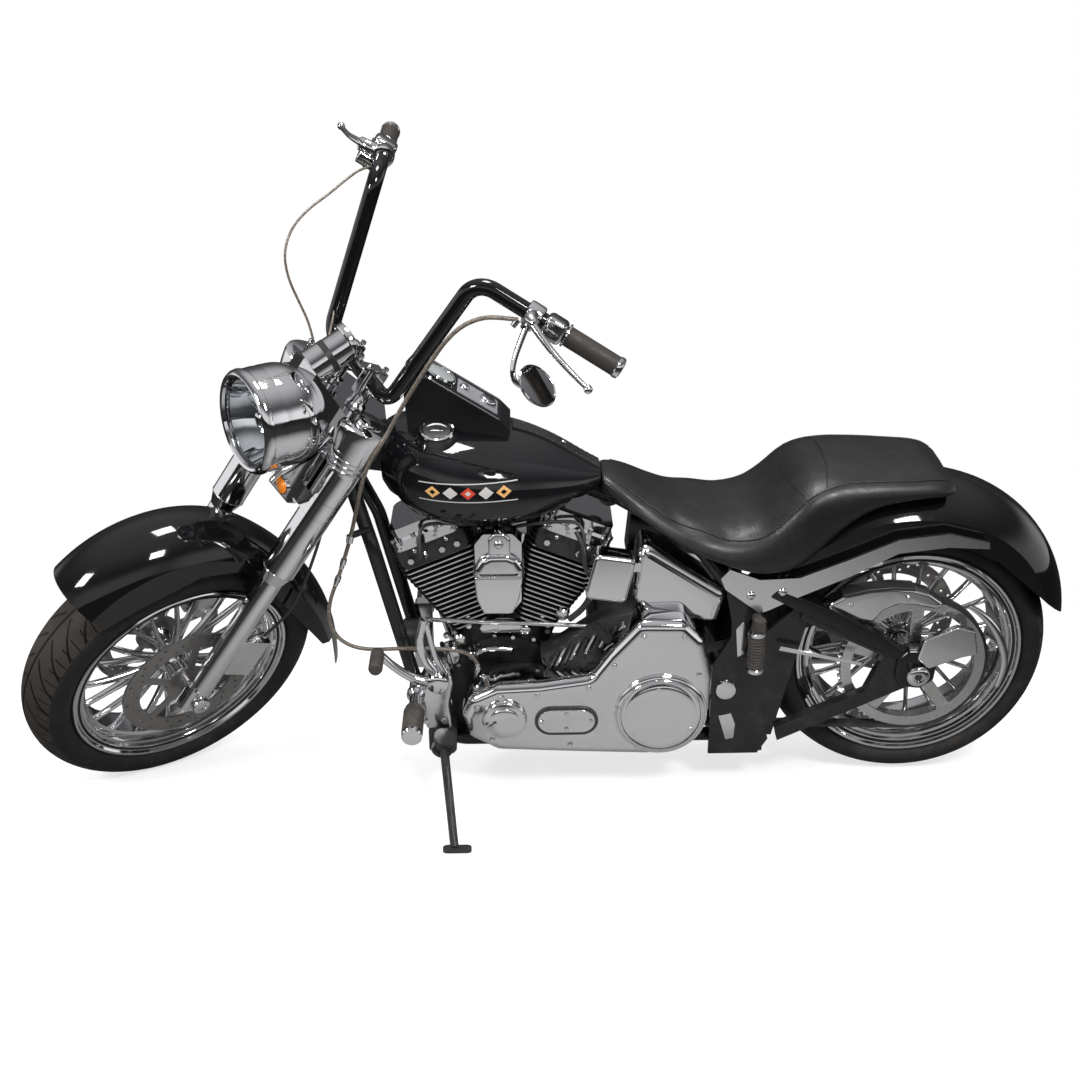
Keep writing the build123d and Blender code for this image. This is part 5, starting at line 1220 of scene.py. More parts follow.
@dataclass
class Engine:
    """Fasteners, leads, covers' trim and the primary's caps."""

    outline: tuple[tuple[float, float], ...] = PRIMARY
    shaft: tuple[float, float] = (552.0, 246.0)
    crank: tuple[float, float] = (885.0, 240.0)

    def build(self, maker: Maker) -> None:
        """Dresses the engine."""
        on = Body.CHASSIS
        x, z = self.shaft
        ring = [(x + 70 * cos(a), 212.4, z + 70 * sin(a)) for a in (radians(85), radians(205), radians(325))]
        maker.spread("derby_screws", on, "worn_chrome", "hex", ring, (0, 1, 0), 6.5, 4)
        for name, centre, radius, y in (("derby_step", self.shaft, 78, 212), ("nose_step", self.crank, 34, 216)):
            maker.turned(name, on, "chrome", (centre[0], y - 0.5, centre[1]), (0, 1, 0),
                         [(radius, 0), (radius, 1.5), (radius - 3, 3.2), (radius - 12, 4.2), (radius * 0.5, 5), (0, 5.4)], 72)
        for name, centre, radius, y in (("derby_rim", self.shaft, 87, 205), ("nose_rim", self.crank, 43, 207), ("clutch_rim", self.shaft, 97.5, 197)):
            maker.spread(name, on, "chrome", "ring", [(centre[0], y, centre[1])], (0, 1, 0), radius, 2.4)
        case = maker.pillow("primary_cover", on, "chrome", self.outline, (118, 197), 22, 30, 9)
        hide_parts("primary_case")
        maker.turned("clutch_cup", on, "chrome", (x, 180, z), (0, 1, 0), [(99, 0), (99, 12), (97.5, 18), (93, 22), (88, 24), (0, 25)], 96)
        maker.turned("crank_cup", on, "chrome", (885, 180, 240), (0, 1, 0), [(50, 0), (49, 18), (46, 26), (42, 29), (0, 30)], 72)
        tank = maker.pillow("oil_tank_skin", on, "chrome", [(600, 634), (412, 506), (432, 430), (579, 458), (613, 490)], (60, 146), 22, 26, 8)
        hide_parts("oil_tank")
        maker.pillow("oil_tank_right", on, "chrome", [(600, 634), (412, 506), (432, 430), (579, 458), (613, 490)], (-60, -146), 22, 26, 8)
        maker.plate("primary_neck", on, "case_black", [(964, 200), (890, 162), (760, 162), (760, 300), (900, 300), (955, 280)], (66, 120), 3)
        maker.turned("clutch_gland", on, "chrome", (941.7, 100, 282), (0, 0, 1), [(9, 0), (9, 24), (7.5, 27), (7.5, 36), (5, 38), (0, 38)], 24)
        self.louvres(maker)
        self.window(maker)
        edge = [(944, 268), (912, 186), (745, 170), (600, 163), (488, 214), (472, 340), (506, 432), (592, 436), (652, 366), (706, 312), (815, 296), (890, 292)]
        maker.spread("primary_screws", on, "worn_chrome", "round", [(px, 196.5, pz) for px, pz in edge], (0, 1, 0), 6.5, 6)
        # Black hexes on the screw heads are painted shade, where the sockets' recesses would be dark.
        maker.spread("primary_socket_shades", on, "satin_black", "hex", [(px, 199.6, pz) for px, pz in edge], (0, 1, 0), 3.0, 0.6)
        self.heads(maker)
        self.horn(maker)
        self.cases(maker)

    def window(self, maker: Maker) -> None:
        """The inspection cover: a black surround, a bright plate and four screws."""
        def pill(inset: float) -> list[tuple[float, float]]:
            low, high, left, right = 192 + inset, 274 - inset, 679 + inset, 827 - inset
            r = (high - low) / 2
            mid = (low + high) / 2
            steps = [radians(-90 + 15 * i) for i in range(13)]
            return ([(right - r + r * cos(a), mid + r * sin(a)) for a in steps]
                    + [(left + r - r * cos(a), mid - r * sin(a)) for a in steps])
        maker.plate("window_surround", Body.CHASSIS, "satin_black", pill(6), (196.6, 200.4), 0.4, 1)
        maker.plate("window_plate", Body.CHASSIS, "chrome", pill(13), (199.0, 202.6), 1.2)
        maker.spread("window_screws", Body.CHASSIS, "worn_chrome", "round",
                     [(700, 203, 233), (806, 203, 233), (753, 203, 252), (753, 203, 214)], (0, 1, 0), 5, 3)

    def heads(self, maker: Maker) -> None:
        """Bolts on the rocker boxes, and the plugs with their leads."""
        on = Body.CHASSIS
        for label, side in (("front", 1), ("rear", -1)):
            a = radians(22.5) * side
            def at(along: float, across: float, y: float) -> Point:
                return (self.crank[0] + along * sin(a) + across * cos(a), y, self.crank[1] + along * cos(a) - across * sin(a))
            way = (sin(a), 0, cos(a))
            maker.spread(f"rocker_bolts_{label}", on, "worn_chrome", "hex",
                         [at(422, c, y) for c in (-72, -26, 26, 72) for y in (74, -86)], way, 5.5, 7)
            maker.spread(f"rocker_edge_{label}", on, "worn_chrome", "round",
                         [at(410, c, 94.5) for c in (-60, -20, 20, 60)], (0, 1, 0), 5, 4)
            casting = [(at(along, across, 0)[0], at(along, across, 0)[2]) for along, across in
                       ((352, -70), (352, 70), (366, 78), (398, 78), (402, 70), (402, -70), (398, -78), (366, -78))]
            maker.plate(f"head_casting_{label}", on, "satin_black", casting, (40, 82), 4)
            maker.spread(f"head_bolts_{label}", on, "worn_chrome", "hex", [at(374, c, 84.5) for c in (-54, -20, 52)], (0, 1, 0), 8, 8)
            maker.spread(f"head_caps_{label}", on, "chrome", "dome", [at(390, c, 82.5) for c in (-36, 36)], (0, 1, 0), 6, 5)
            maker.turned(f"plug_{label}", on, "worn_chrome", at(372, 24 * side, 76), (0, 1, 0.25),
                         [(9, 0), (9, 8), (7, 9), (7, 20), (5, 21), (5, 26), (0, 26)], 6)
            maker.bar(f"plug_boot_{label}", on, "cable_black",
                      [at(376, 24 * side, 94), at(384, 24 * side, 112), at(398, 18 * side, 118), at(424, 10 * side, 104)], [8, 8, 6, 5])
            maker.bar(f"plug_lead_{label}", on, "cable_black",
                      [at(420, 10 * side, 106), at(440, 2 * side, 92), at(436, -30 * side, 84), (885, 84, 640), (885, 92, 622)], 4)

    def horn(self, maker: Maker) -> None:
        """The horn cover's raised face and the coil cover's trim."""
        on = Body.CHASSIS
        maker.pillow("horn_face", on, "chrome", [(864, 474), (924, 474), (938, 508), (943, 562), (840, 562), (850, 508)], (118, 160), 5, 8)
        maker.pillow("horn_crown", on, "chrome", [(838, 556), (944, 556), (944, 580), (928, 606), (908, 616), (872, 616), (852, 606), (838, 580)],
                     (118, 166), 17, 18, 8)
        maker.pillow("horn_tab", on, "chrome", [(866, 604), (912, 604), (912, 646), (900, 660), (878, 660), (866, 646)], (118, 157), 6, 12)
        maker.spread("horn_nut", on, "worn_chrome", "dome", [(890, 157.5, 636)], (0, 1, 0), 10, 6)
        maker.spread("coil_nuts", on, "worn_chrome", "dome", [(660, 165, 590), (676, 165, 530)], (0, 1, 0), 6, 4)
        maker.pillow("coil_face", on, "chrome", [(691, 613), (607, 600), (630, 500), (715, 513)], (120, 170), 8, 14, 5)

    def louvres(self, maker: Maker) -> None:
        """The black slanted ribs over the primary's rise."""
        on = Body.CHASSIS
        maker.plate("louvre_bed", on, "satin_black", [(800, 330), (600, 330), (592, 462), (680, 436), (770, 372), (806, 350)], (70, 128), 3, 2)
        for i in range(13):
            x, z = 786 - 15.5 * i, 352 + 7.4 * i
            maker.plate(f"louvre_{i}", on, "worn_chrome" if i % 2 else "satin_black", [(x, z - 26), (x + 6, z - 26), (x - 12, z + 16), (x - 18, z + 16)], (120, 140), 1.5, 2)

    def cases(self, maker: Maker) -> None:
        """Bolts and black ribs on the cases."""
        on = Body.CHASSIS
        spots = [(1010, 64, 372), (1030, 64, 330), (960, 64, 396), (900, 64, 404), (840, 64, 396), (790, 64, 380), (1035, 64, 262)]
        small = [(1020, 66, 352), (985, 66, 300), (940, 66, 350), (905, 66, 372), (865, 66, 368), (820, 66, 362), (800, 66, 420), (960, 66, 420),
                 (915, 66, 340), (860, 66, 338)]
        maker.spread("case_studs", on, "chrome", "round", small, (0, 1, 0), 5, 9)
        for i, (px, pz, r) in enumerate(((1000, 332, 22), (980, 372, 13), (952, 330, 11), (1032, 300, 12), (838, 392, 12), (758, 430, 14))):
            maker.turned(f"case_boss_{i}", on, "worn_chrome" if i % 2 else "chrome", (px, 62, pz), (0, 1, 0),
                         [(r + 3, 0), (r + 3, 10), (r, 14), (r, 26), (r - 4, 30), (0, 31)], 32)
        maker.bar("oil_feed", on, "chrome", [(952, 88, 330), (934, 96, 352), (900, 98, 356), (868, 94, 350)], 6)
        maker.bar("breather", on, "cable_black", [(700, 120, 560), (694, 132, 520), (712, 134, 470), (744, 124, 440)], 7)
        maker.bar("wire_loom", on, "cable_black", [(730, 110, 640), (712, 128, 610), (716, 134, 570), (700, 130, 540)], 5)
        maker.spread("case_bolts", on, "chrome", "hex", spots, (0, 1, 0), 7, 8)
        for i in range(7):
            x = 776 - i * 15
            maker.plate(f"starter_rib_{i}", on, "satin_black", [(x, 306), (x + 8, 306), (x + 30, 352), (x + 22, 352)], (60, 128), 1.5, 2)
        maker.plate("lifter_block", on, "chrome", [(930, 386), (850, 386), (842, 398), (850, 412), (930, 412), (938, 398)], (60, 86), 3)
        maker.bar("oil_line", on, "worn_chrome", [(1064, 96, 430), (980, 104, 428), (880, 106, 424), (760, 108, 418), (690, 108, 412)], 5)
        maker.bar("oil_hose", on, "cable_black", [(1052, 92, 420), (1060, 96, 380), (1046, 92, 340), (1010, 84, 312)], 7)
        maker.turned("oil_filter", on, "satin_black", (1046, 0, 330), (1, 0, 0.12),
                     [(30, 0), (38, 2), (38, 60), (34, 66), (0, 68)], 40)


@dataclass
class FrontEnd:
    """The lamp, the fork's rings, the bars' fittings and the instrument."""

    lamp: Point = (192, 0, 1002)
    lamp_way: Point = (0.8988, 0, -0.4384)

    def ahead(self, along: float) -> Point:
        """A point on the lamp's axis."""
        return tuple(Vector(self.lamp) + Vector(self.lamp_way) * along)

    def build(self, maker: Maker) -> None:
        """Dresses the front end."""
        self.headlamp(maker)
        self.fork(maker)
        self.instrument(maker)
        for label, side in (("left", 1), ("right", -1)):
            self.hand(maker, label, side)
        self.mirror(maker)

    def headlamp(self, maker: Maker) -> None:
        """The bezel, the trim line, the bowl and its bulb."""
        on = Body.FORK
        outer = [(0, -88), (44, -88)] + [(105 * sin(a), -88 * cos(a)) for a in [radians(25 + 5 * i) for i in range(1, 14)]]
        shell = maker.turned("lamp_shell", on, "chrome", self.lamp, self.lamp_way,
                             [*outer, (105, 20), (104.4, 26), (104.4, 29), (105, 35), (103.6, 60), (101, 62), (88, 62), (83, 20), (60, 0), (0, -20)], 96)
        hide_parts("headlamp_shell")
        maker.turned("lamp_bezel", on, "chrome", self.ahead(56), self.lamp_way,
                     [(101, 0), (105, 2), (106.2, 7), (105, 14), (101, 20), (96, 22.5), (91, 20.5), (89, 15), (91, 9), (97, 4), (101, 0)], 96)
        maker.turned("lamp_bowl", on, "mirror_glass", self.ahead(-26), self.lamp_way,
                     [(8, 8), (34, 17), (56, 32), (71, 50), (80, 68), (86, 88), (84.8, 88), (78.5, 68), (69.5, 51), (55, 34), (33, 19), (8, 10)], 72)
        maker.turned("lamp_bulb", on, "milky_glass", self.ahead(-18), self.lamp_way,
                     [(9, 0), (9, 18), (13, 26), (14, 34), (11, 42), (5, 47), (0, 48)], 32)
        lens = maker.turned("lamp_lens", on, "lamp_glass", self.ahead(62), self.lamp_way,
                            [(93, 0), (91, 4), (78, 9.5), (56, 14), (28, 17), (0, 18), (0, 16.8), (28, 15.8), (56, 12.8), (78, 8.3), (91, 2.6), (92, 0), (93, 0)], 96)
        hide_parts("headlamp_lens")
        for k in (1, -1):
            label = "left" if k > 0 else "right"
            maker.pillow(f"nacelle_side_{label}", on, "chrome", [(104, 858), (126, 856), (200, 900), (190, 934), (144, 972), (126, 1030), (104, 1030)],
                         (80 * k, 90 * k), 5, 6)
            cup = maker.turned(f"lamp_cup_{label}", on, "chrome", (160, 97 * k, 905), (0.96, 0, -0.28), [(0, 0), (10, 1), (16, 6), (17, 14), (15, 15)], 32)
            lens = maker.turned(f"turn_lens_{label}", on, "amber_lens", (172, 97 * k, 901.5), (0.96, 0, -0.28), [(15, 0), (15, 3), (12, 6), (6, 8), (0, 8.4)], 32)
            if k > 0:
                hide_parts("turn_lights")
            side = 119 * k
            maker.turned(f"fork_shoulder_{label}", on, "chrome", (74, side, 980), (0.12, -0.07 * k, 1),
                         [(30, 0), (38, 4), (43, 24), (50, 52), (56, 84), (58, 100), (57, 107), (52, 110), (0, 111)], 64)
        maker.turned("lamp_shield", on, "chrome", self.ahead(34), self.lamp_way, [(19, 0), (19.5, 3), (17, 9), (10, 13), (0, 14)], 40)
        for i, angle in enumerate((-24, 24)):
            maker.bar(f"lamp_wire_{i}", on, "chrome", [tuple(Vector(self.ahead(30)) + Vector((0, y, 0))) for y in (sin(radians(angle)) * 18, sin(radians(angle)) * 170)], 1.4, order=2)

    def fork(self, maker: Maker) -> None:
        """Ribbed rings on the covers, caps on the tubes, axle nuts and fender bolts."""
        on = Body.FORK
        for y in (119, -119):
            label = "left" if y > 0 else "right"
            for i in range(4):
                up = 990 + 13 * i
                share = (up - 975) / 78.7
                maker.spread(f"fork_ring_{label}_{i}", on, "chrome", "ring", [(74 + 10 * share, y * (1 - 0.0588 * share), up)], (0.12, 0, 1),
                             37.5 + 13 * share, 2.8)
            maker.spread(f"cover_lip_{label}", on, "chrome", "ring", [(74, y, 711)], (0, 0, 1), 35.2, 1.6)
            maker.turned(f"fork_cap_{label}", on, "chrome", (84, y * 112 / 119, 1087), (0, 0, 1),
                         [(26, 0), (26, 5), (23, 9), (15, 11), (0, 11.5)], 40)
            maker.spread(f"slider_bolts_{label}", on, "worn_chrome", "round",
                         [(92, y + (14 if y > 0 else -14), 366), (92, y + (14 if y > 0 else -14), 322)], (0, 1 if y > 0 else -1, 0), 5, 4)
            maker.turned(f"axle_cap_{label}", on, "chrome", (76.4, y + (18 if y > 0 else -18), 344), (0, 1 if y > 0 else -1, 0),
                         [(19, -4), (20, 0), (20, 14), (18.5, 18), (14, 20), (9, 20.5), (8, 17), (0, 17)], 36)
            maker.spread(f"fender_bolts_{label}", on, "chrome", "dome",
                         [(60, y * 0.86, 640), (60, y * 0.86, 668)], (0, 1 if y > 0 else -1, 0), 6, 4)

    def instrument(self, maker: Maker) -> None:
        """The dial on the can, its black band, and the clamps' bolts."""
        on = Body.FORK
        base, dial = Vector((168, 0, 1146)), Vector((129, 0, 1202))
        way = (dial - base).normalized()
        maker.turned("dial_rim", on, "chrome", tuple(dial - way * 13), tuple(way),
                     [(40.2, 0), (42, 2), (42, 11), (40, 15), (36, 16), (34, 13), (34, 6)], 64)
        maker.turned("dial_face", on, "dial_face", tuple(dial), tuple(way), [(35, 0), (35, 1.4), (0, 1.6)], 48)
        maker.turned("dial_glass", on, "lamp_glass", tuple(dial + way * 1.8), tuple(way), [(35, 0), (35, 0.8), (0, 2.6), (0, 1.2)], 48)
        side = way.cross(Vector((0, 1, 0))).normalized()
        ticks = [tuple(dial + way * 1.8 + (side * cos(a) + Vector((0, 1, 0)) * sin(a)) * 29) for a in [radians(-130 + 20 * i) for i in range(14)]]
        maker.spread("dial_ticks", on, "satin_black", "round", ticks, tuple(way), 1.3, 0.8)
        maker.bar("dial_hand", on, "amber_lens", [tuple(dial + way * 2.6), tuple(dial + way * 2.6 - side * 12 + Vector((0, 11, 0))),
                                                  tuple(dial + way * 2.6 - side * 17 + Vector((0, 15, 0)))], [1.6, 1.2, 0.5])
        maker.turned("can_band", on, "satin_black", tuple(base + way * 5), tuple(way), [(34.3, 0), (35, 0.6), (35, 12), (34.3, 12.6)], 64)
        bolts = [(x, y, 1178.6) for y in (46, -46) for x in (52, 94)]
        maker.spread("riser_bolts", on, "worn_chrome", "round", bolts, (0, 0, 1), 6, 6)
        for y in (46, -46):
            maker.turned(f"riser_foot_{'left' if y > 0 else 'right'}", on, "chrome", (72, y, 1088.5), (0, 0, 1),
                         [(22, 0), (22, 4), (18.5, 8), (17.2, 10)], 36)

    def on_bar(self, side: int, point: Point) -> Point:
        """A point laid out on the bar's end (z outwards), in the fork's frame."""
        run = Vector((-0.6244, 0.7789, 0.0592))
        ahead = Vector((0.7829, 0.6222, 0.0))
        ahead = (ahead - run * ahead.dot(run)).normalized()
        up = run.cross(ahead)
        found = Vector((9.9, 333.8, 1487.4)) + ahead * point[0] + up * point[1] + run * point[2]
        return found.x, found.y * side, found.z

    def way(self, side: int, vector: Point) -> Point:
        """A direction laid out on the bar's end, in the fork's frame."""
        return tuple(Vector(self.on_bar(side, vector)) - Vector(self.on_bar(side, (0, 0, 0))))

    def frame_at(self, side: int, point: Point) -> Matrix:
        """A frame on the bar's end, for a block."""
        axes = [Vector(self.way(side, axis)) for axis in ((1, 0, 0), (0, 1, 0), (0, 0, 1))]
        turn = Matrix(axes).transposed().to_4x4()
        turn.translation = Vector(self.on_bar(side, point))
        return turn

    def hand(self, maker: Maker, label: str, side: int) -> None:
        """The switch housing, the perch, the lever and the grip's ribs on one side."""
        on, at, way = Body.FORK, self.on_bar, self.way
        out = way(side, (0, 0, 1))
        housing = maker.block(f"switch_housing_{label}", on, "chrome", self.frame_at(side, (4, 0, -24)), (50, 44, 42), 9)
        if side > 0:
            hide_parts("hand_controls")
        maker.turned(f"perch_clamp_{label}", on, "chrome", at(side, (0, 0, -86)), out, [(17, 0), (23, 2), (24, 8), (24, 26), (23, 32), (17, 34)], 36)
        maker.bar(f"perch_arm_{label}", on, "chrome", [at(side, (14, 0, -70)), at(side, (30, 0, -72)), at(side, (46, 0, -66)), at(side, (52, 0, -58))],
                  [16, 15, 11, 8])
        lever = [at(side, p) for p in ((44, 2, -68), (58, 10, -42), (72, 21, -6), (82, 29, 30), (89, 35, 60), (93, 38, 78))]
        maker.bar(f"lever_{label}", on, "polished_alloy", lever, [8, 7.2, 6, 5.4, 5, 4.6])
        maker.spread(f"lever_ball_{label}", on, "polished_alloy", "dome", [at(side, (94, 39, 84))], out, 8.6, 8.6)
        maker.spread(f"pivot_screw_{label}", on, "worn_chrome", "round", [at(side, (46, 12, -64))], way(side, (0, 1, 0)), 6, 6)
        maker.spread(f"perch_screws_{label}", on, "worn_chrome", "round", [at(side, (16, 16, -80)), at(side, (16, 16, -60))],
                     way(side, (0, 1, 0)), 4, 5)
        maker.spread(f"switch_buttons_{label}", on, "satin_black", "dome",
                     [at(side, (28, 8, -34)), at(side, (28, -6, -30)), at(side, (28, 6, -14))], way(side, (1, 0, 0)), 6.5, 5)
        maker.turned(f"grip_end_{label}", on, "chrome", at(side, (0, 0, 108)), out,
                     [(19.6, 0), (21, 1.5), (21, 8), (19.5, 11), (13, 13), (6, 13.5), (0, 13.5)], 36)
        maker.turned(f"grip_flange_{label}", on, "chrome", at(side, (0, 0, -2)), out, [(19.5, 0), (23, 1), (23, 4.5), (19.6, 5.5)], 36)
        if side < 0:
            maker.block("brake_reservoir", on, "chrome", self.frame_at(side, (22, 22, -60)), (44, 20, 52), 5)
            maker.block("reservoir_cap", on, "satin_black", self.frame_at(side, (22, 34, -60)), (42, 6, 50), 2.5)
            maker.spread("reservoir_screws", on, "chrome", "round", [at(side, (22, 37.5, -40)), at(side, (22, 37.5, -80))],
                         way(side, (0, 1, 0)), 3, 2)

    def mirror(self, maker: Maker) -> None:
        """The round mirror on its bent stem."""
        on = Body.FORK
        head, way = Vector((42, 370, 1388)), Vector((0.16, 0.45, 0.87)).normalized()
        maker.bar("mirror_stem", on, "chrome", [(79, 300, 1474), (80, 306, 1452), (84, 328, 1400), (76, 344, 1376), (60, 356, 1374), (46, 366, 1381)],
                  [6, 6, 5, 5, 5.5, 6])
        maker.turned("mirror_shell", on, "chrome", tuple(head - way * 11), tuple(way),
                     [(0, 0), (14, 0.6), (28, 3), (38, 7.5), (42.6, 13), (43, 16), (41.6, 17.4), (40.2, 16.4), (40.0, 14.6)], 64)
        maker.turned("mirror_face", on, "mirror_glass", tuple(head + way * 3.4), tuple(way), [(40.4, 0), (40.4, 1), (20, 1.6), (0, 1.8)], 64)
        maker.turned("mirror_nut", on, "worn_chrome", (79, 300, 1460), (0, 0, 1), [(9, 0), (9, 8), (7, 10), (0, 10)], 6)


@dataclass
class Wheels:
    """Stepped polished rims on ten forked, bowed spokes."""

    bead: float = 228.0
    lip: float = 246.0
    spokes: int = 10

    def arm(self, start: float, bow: float, spread: float, tilt: float) -> list[list[Point]]:
        """One arm of a spoke, as rings from the hub out to the rim.

        Args:
            start: the spoke's angle.
            bow: how far the arm bows, in radians.
            spread: how far its tip swings, in radians.
            tilt: how far the arm leans outwards near the hub, in mm.

        Returns:
            Its rings.
        """
        rings = []
        inner, outer = 30.0, self.bead - 14
        for k in range(15):
            t = k / 14
            radius = inner + (outer - inner) * t
            angle = start + spread * t ** 1.6 + bow * sin(pi * t)
            wide, deep = 9.5 - 4.8 * sin(pi * min(t, 0.72) / 1.44) + (4.0 * max(t - 0.85, 0) / 0.15), 12 - 4 * t
            way = Vector((cos(angle), 0, sin(angle)))
            side = Vector((-sin(angle), 0, cos(angle)))
            middle = way * radius + Vector((0, tilt * sin(pi * t), 0))
            rings.append([tuple(middle + side * wide * cos(a) + Vector((0, deep * sin(a), 0))) for a in [2 * pi * m / 12 for m in range(12)]])
        return rings

    def build(self, maker: Maker) -> None:
        """Makes both wheels."""
        for label, on, half, hub in (("front", Body.FRONT_WHEEL, 60.0, 76.0), ("rear", Body.REAR_WHEEL, 82.0, 88.0)):
            well = self.bead - 22
            side = [(self.lip, half - 4), (self.lip + 1, half - 1), (self.lip - 1, half + 1), (self.lip - 6, half), (self.lip - 9, half - 5),
                    (self.bead - 2, half - 8), (self.bead - 5, half - 14), (self.bead - 11, half - 15), (self.bead - 14, half - 20),
                    (self.bead - 16, half - 30), (well, half - 34)]
            profile = [*side, *[(r, -y) for r, y in reversed(side)], (self.bead, -half + 6), (self.bead - 6, 0), (self.bead, half - 6), side[0]]
            rim = maker.turned(f"{label}_rim", on, "chrome", (0, 0, 0), (0, 1, 0), profile, 128)
            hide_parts(f"{label}_wheel")
            pitch = 2 * pi / self.spokes
            chains = [self.arm(i * pitch, k * 0.05, k * 0.165, 3.0) for i in range(self.spokes) for k in (1, -1)]
            maker.loft(f"{label}_spokes", on, "chrome", chains)
            maker.turned(f"{label}_hub", on, "chrome", (0, 0, 0), (0, 1, 0),
                         [(13.5, hub), (30, hub), (32, hub - 4), (30, hub - 16), (26, 30), (36, 18), (40, 8), (40, -8), (36, -18), (26, -30), (30, 16 - hub),
                          (32, 4 - hub), (30, -hub), (13.5, -hub), (13.5, hub)], 64)
            ring = [(52 * cos(a), 14, 52 * sin(a)) for a in [pitch * (i + 0.5) for i in range(self.spokes)]]
            maker.spread(f"{label}_hub_bolts", on, "worn_chrome", "hex", [(x * 0.66, 19, z * 0.66) for x, _, z in ring], (0, 1, 0), 4.5, 4)
            maker.turned(f"{label}_valve", on, "satin_black", (self.bead - 24, half - 34, 0), (-0.6, 0.8, 0), [(4, 0), (4, 16), (3, 24), (0, 24)], 12)


@dataclass
class RearEnd:
    """The rear hub's plates, adjuster, caps and the fender's fittings."""

    def build(self, maker: Maker) -> None:
        """Dresses the rear end."""
        on = Body.CHASSIS
        maker.turned("axle_nut", on, "chrome", (0, 172, 312), (0, 1, 0),
                     [(22, 0), (22, 3), (19, 6), (12, 7), (11, 3), (0, 3)], 32)
        # The black hex on the nut's recess is painted shade in the axle's hex socket.
        maker.spread("axle_hex_shade", on, "satin_black", "hex", [(0, 175.6, 312)], (0, 1, 0), 9, 1)
        plate = maker.pillow("hub_plate", on, "polished_alloy", [(4, 352), (-6, 396), (-74, 427), (-113, 417), (-124, 360), (-91, 353), (-21, 326)],
                             (150, 166), 4, 8)
        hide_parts("plate_bracket")
        maker.bar("hub_band", on, "polished_alloy", [(-92, 158, 476), (-118, 160, 462), (-152, 160, 425), (-178, 160, 375), (-188, 160, 325), (-176, 160, 278)],
                  [5, 8, 9, 9, 8, 5])
        guard = maker.pillow("guard_face", on, "polished_alloy", [(196, 470), (160, 492), (110, 504), (63, 507), (20, 503), (-16, 492), (-50, 466), (-36, 452),
                                                          (10, 464), (50, 466), (78, 452), (98, 424), (150, 432), (190, 448)], (96, 134), 8, 14, 6)
        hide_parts("belt_guard")
        maker.pillow("guard_top", on, "satin_black", [(170, 494), (112, 507), (64, 511), (16, 507), (16, 500), (64, 503), (112, 499), (166, 486)],
                     (100, 137), 2, 3, 3)
        maker.pillow("axle_block", on, "gloss_black", [(44, 342), (22, 366), (-26, 366), (-44, 340), (-40, 290), (-10, 270), (30, 276), (46, 300)],
                     (120, 156), 8, 14, 5)
        maker.pillow("arm_bar", on, "gloss_black", [(310, 520), (330, 500), (210, 434), (60, 352), (20, 330), (14, 352), (80, 402), (200, 470)],
                     (128, 152), 6, 8, 4)
        maker.spread("strut_bolts", on, "chrome", "dome", [(300, 151, 512), (366, 151, 505)], (0, 1, 0), 10, 6)
        maker.spread("guard_bolts", on, "worn_chrome", "round", [(30, 134.5, 484), (150, 134.5, 470)], (0, 1, 0), 6, 5)
        maker.plate("arm_insert", on, "polished_alloy", [(300, 372), (120, 330), (118, 338), (296, 382)], (152, 153.4), 0.5, 1)
        maker.plate("side_insert_upper", on, "polished_alloy", [(392, 420), (376, 440), (366, 404), (372, 360), (386, 352)], (143.2, 146), 1.2)
        maker.plate("side_insert_lower", on, "polished_alloy", [(420, 204), (392, 210), (382, 182), (384, 146), (402, 142)], (143.2, 146), 1.2)
        maker.turned("pivot_cap", on, "chrome", (407, 143, 271), (0, 1, 0), [(24, 0), (24, 4), (21, 8), (12, 10), (0, 10.5)], 40)
        pitch = 2 * pi / 64
        teeth = [(151 * cos(i * pitch), 109, 151 * sin(i * pitch)) for i in range(64)]
        ways = [(cos(i * pitch), 0, sin(i * pitch)) for i in range(64)]
        maker.spread("pulley_teeth", Body.REAR_WHEEL, "pulley_steel", "round", teeth, ways, 4.4, 11.5)


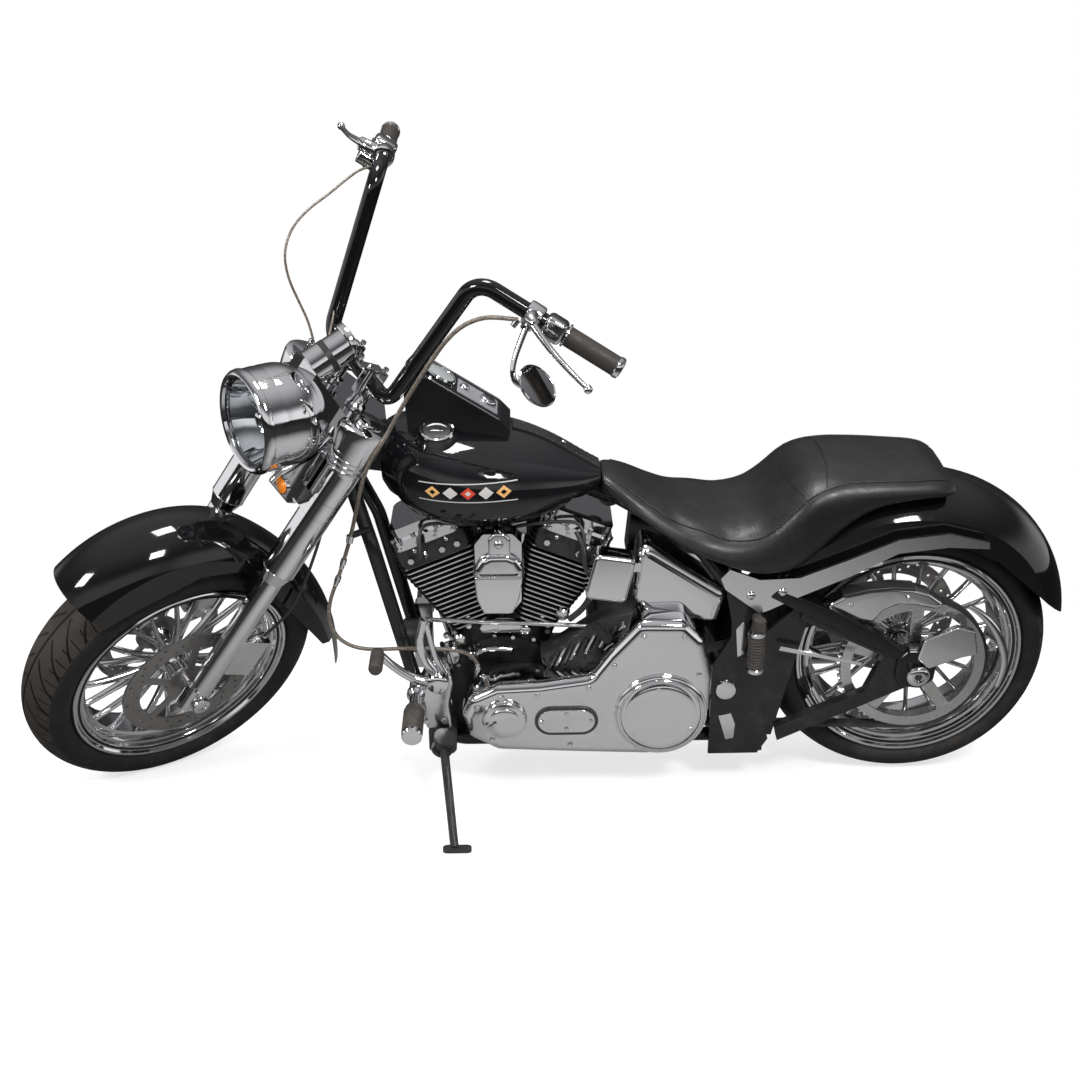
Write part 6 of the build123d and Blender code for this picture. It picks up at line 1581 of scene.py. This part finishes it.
@dataclass
class FootControls:
    """Pegs' rubbers, caps and bolts on both sides."""

    peg: tuple[float, float] = (1075, 276)

    def build(self, maker: Maker) -> None:
        """Dresses the controls."""
        on = Body.CHASSIS
        x, z = self.peg
        for label, side, start in (("left", 1, 218), ("right", -1, 224)):
            way = (0, side, 0)
            maker.turned(f"peg_rubber_{label}", on, "peg_rubber", (x, side * start, z), way, [(19.4, 0), (20.6, 2), (20.6, 84), (19.4, 86)], 40)
            maker.spread(f"peg_ribs_{label}", on, "peg_rubber", "ring", [(x, side * (start + 5 + 7.6 * i), z) for i in range(11)], way, 20.4, 2.0)
            maker.turned(f"peg_cap_{label}", on, "chrome", (x, side * (start + 86), z), way,
                         [(19, 0), (21.5, 1.5), (21.5, 9), (19, 12), (10, 13), (0, 13)], 40)
            maker.turned(f"peg_collar_{label}", on, "chrome", (x, side * (start - 8), z), way, [(15, 0), (20, 2), (20.5, 8), (16, 9)], 40)
        mount = maker.pillow("control_mount", on, "polished_alloy", [(1000, 186), (1056, 186), (1062, 262), (1090, 262), (1090, 290), (1064, 300), (1044, 352),
                                                             (1006, 352), (994, 300), (1004, 250)], (101, 152), 6, 8, 4)
        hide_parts("left_control")
        maker.turned("pivot_tube", on, "chrome", (1023, 148, 340), (0, 1, 0), [(22, 0), (22, 66), (0, 66)], 40)
        maker.turned("peg_stem", on, "chrome", (1075, 146, 276), (0, 1, 0), [(20, 0), (20, 10), (13, 18), (13, 66), (18, 70), (18, 76), (0, 76)], 36)
        maker.bar("toe_arm", on, "chrome", [(1012, 202, 332), (1046, 202, 336), (1082, 202, 352), (1114, 202, 376), (1138, 204, 404), (1146, 206, 414)],
                  [14, 12, 10, 9, 9, 10])
        maker.bar("rocker_arm", on, "chrome", [(1020, 188, 346), (1040, 188, 366), (1056, 188, 398), (1060, 188, 436), (1052, 188, 466), (1048, 188, 482)],
                  [14, 12, 10, 9, 9, 10])
        maker.bar("rocker_web", on, "chrome", [(1010, 186, 352), (1024, 186, 380), (1034, 186, 416), (1040, 186, 452), (1046, 186, 476)], [10, 8, 6, 6, 7])
        for name, end, way in (("front", (-120, -196, 172), (-1, -0.01, 0)), ("rear", (80, -196, 256), (-1, -0.01, 0))):
            maker.turned(f"muffler_rim_{name}", on, "chrome", end, way, [(33, -1), (40.5, -1), (41.5, 3), (40.5, 8), (37, 10), (34, 8), (33, 2), (33, -1)], 56)
            # The black disc that closes each open end is painted shade inside the muffler's bore.
            maker.turned(f"muffler_bore_shade_{name}", on, "satin_black", end, way, [(34, -0.5), (34, 1.2), (14, 0.8), (12, -0.2), (0, -0.2)], 40)
        maker.spread("control_bolts", on, "chrome", "hex", [(1016, 150.5, 206), (1056, 150.5, 206), (1016, 150.5, 300), (1060, 150.5, 300)],
                     (0, 1, 0), 6.5, 5)
        maker.turned("pivot_boss", on, "chrome", (1023, 214, 340), (0, 1, 0), [(22, 0), (22.5, 3), (19, 7), (10, 9), (0, 9)], 40)
        maker.spread("pivot_ribs", on, "chrome", "ring", [(1023, 156 + 7 * i, 340) for i in range(5)], (0, 1, 0), 21.6, 2)
        maker.turned("shift_toe", on, "peg_rubber", (1145, 206, 414), (0, 1, 0), [(12.4, 0), (13.4, 2), (13.4, 68), (12, 71), (0, 71)], 32)
        maker.spread("toe_ribs", on, "peg_rubber", "ring", [(1145, 214 + 7 * i, 414) for i in range(9)], (0, 1, 0), 13, 1.7)
        for side in (1, -1):
            label = "left" if side > 0 else "right"
            maker.spread(f"pillion_ribs_{label}", on, "peg_rubber", "ring", [(352, side * 176, 352 + 7 * i) for i in range(10)], (0, 0, 1), 16.8, 1.8)
            maker.turned(f"pillion_cap_{label}", on, "chrome", (352, side * 176, 340), (0, 0, -1), [(17, -6), (18.8, -4), (18.8, 3), (15, 6), (0, 7)], 32)
            maker.turned(f"pillion_top_{label}", on, "chrome", (352, side * 176, 424), (0, 0, 1), [(17.4, 0), (18.8, 2), (18.8, 8), (14, 11), (0, 11.5)], 32)


def main() -> None:
    """Builds the whole bike in order."""
    logging.basicConfig(level=logging.WARNING, format="%(message)s")
    Studio().build()
    shop = Shop()
    maker = Maker(shop)
    Carried().dress(shop)
    Cables().build(maker)
    for part in (Seat(), Tank(), Engine(), FrontEnd(), Wheels(), RearEnd(), FootControls()):
        part.build(maker)
    log.info("%d pieces", maker.count)
    bpy.context.view_layer.update()


if __name__ == "__main__":
    main()
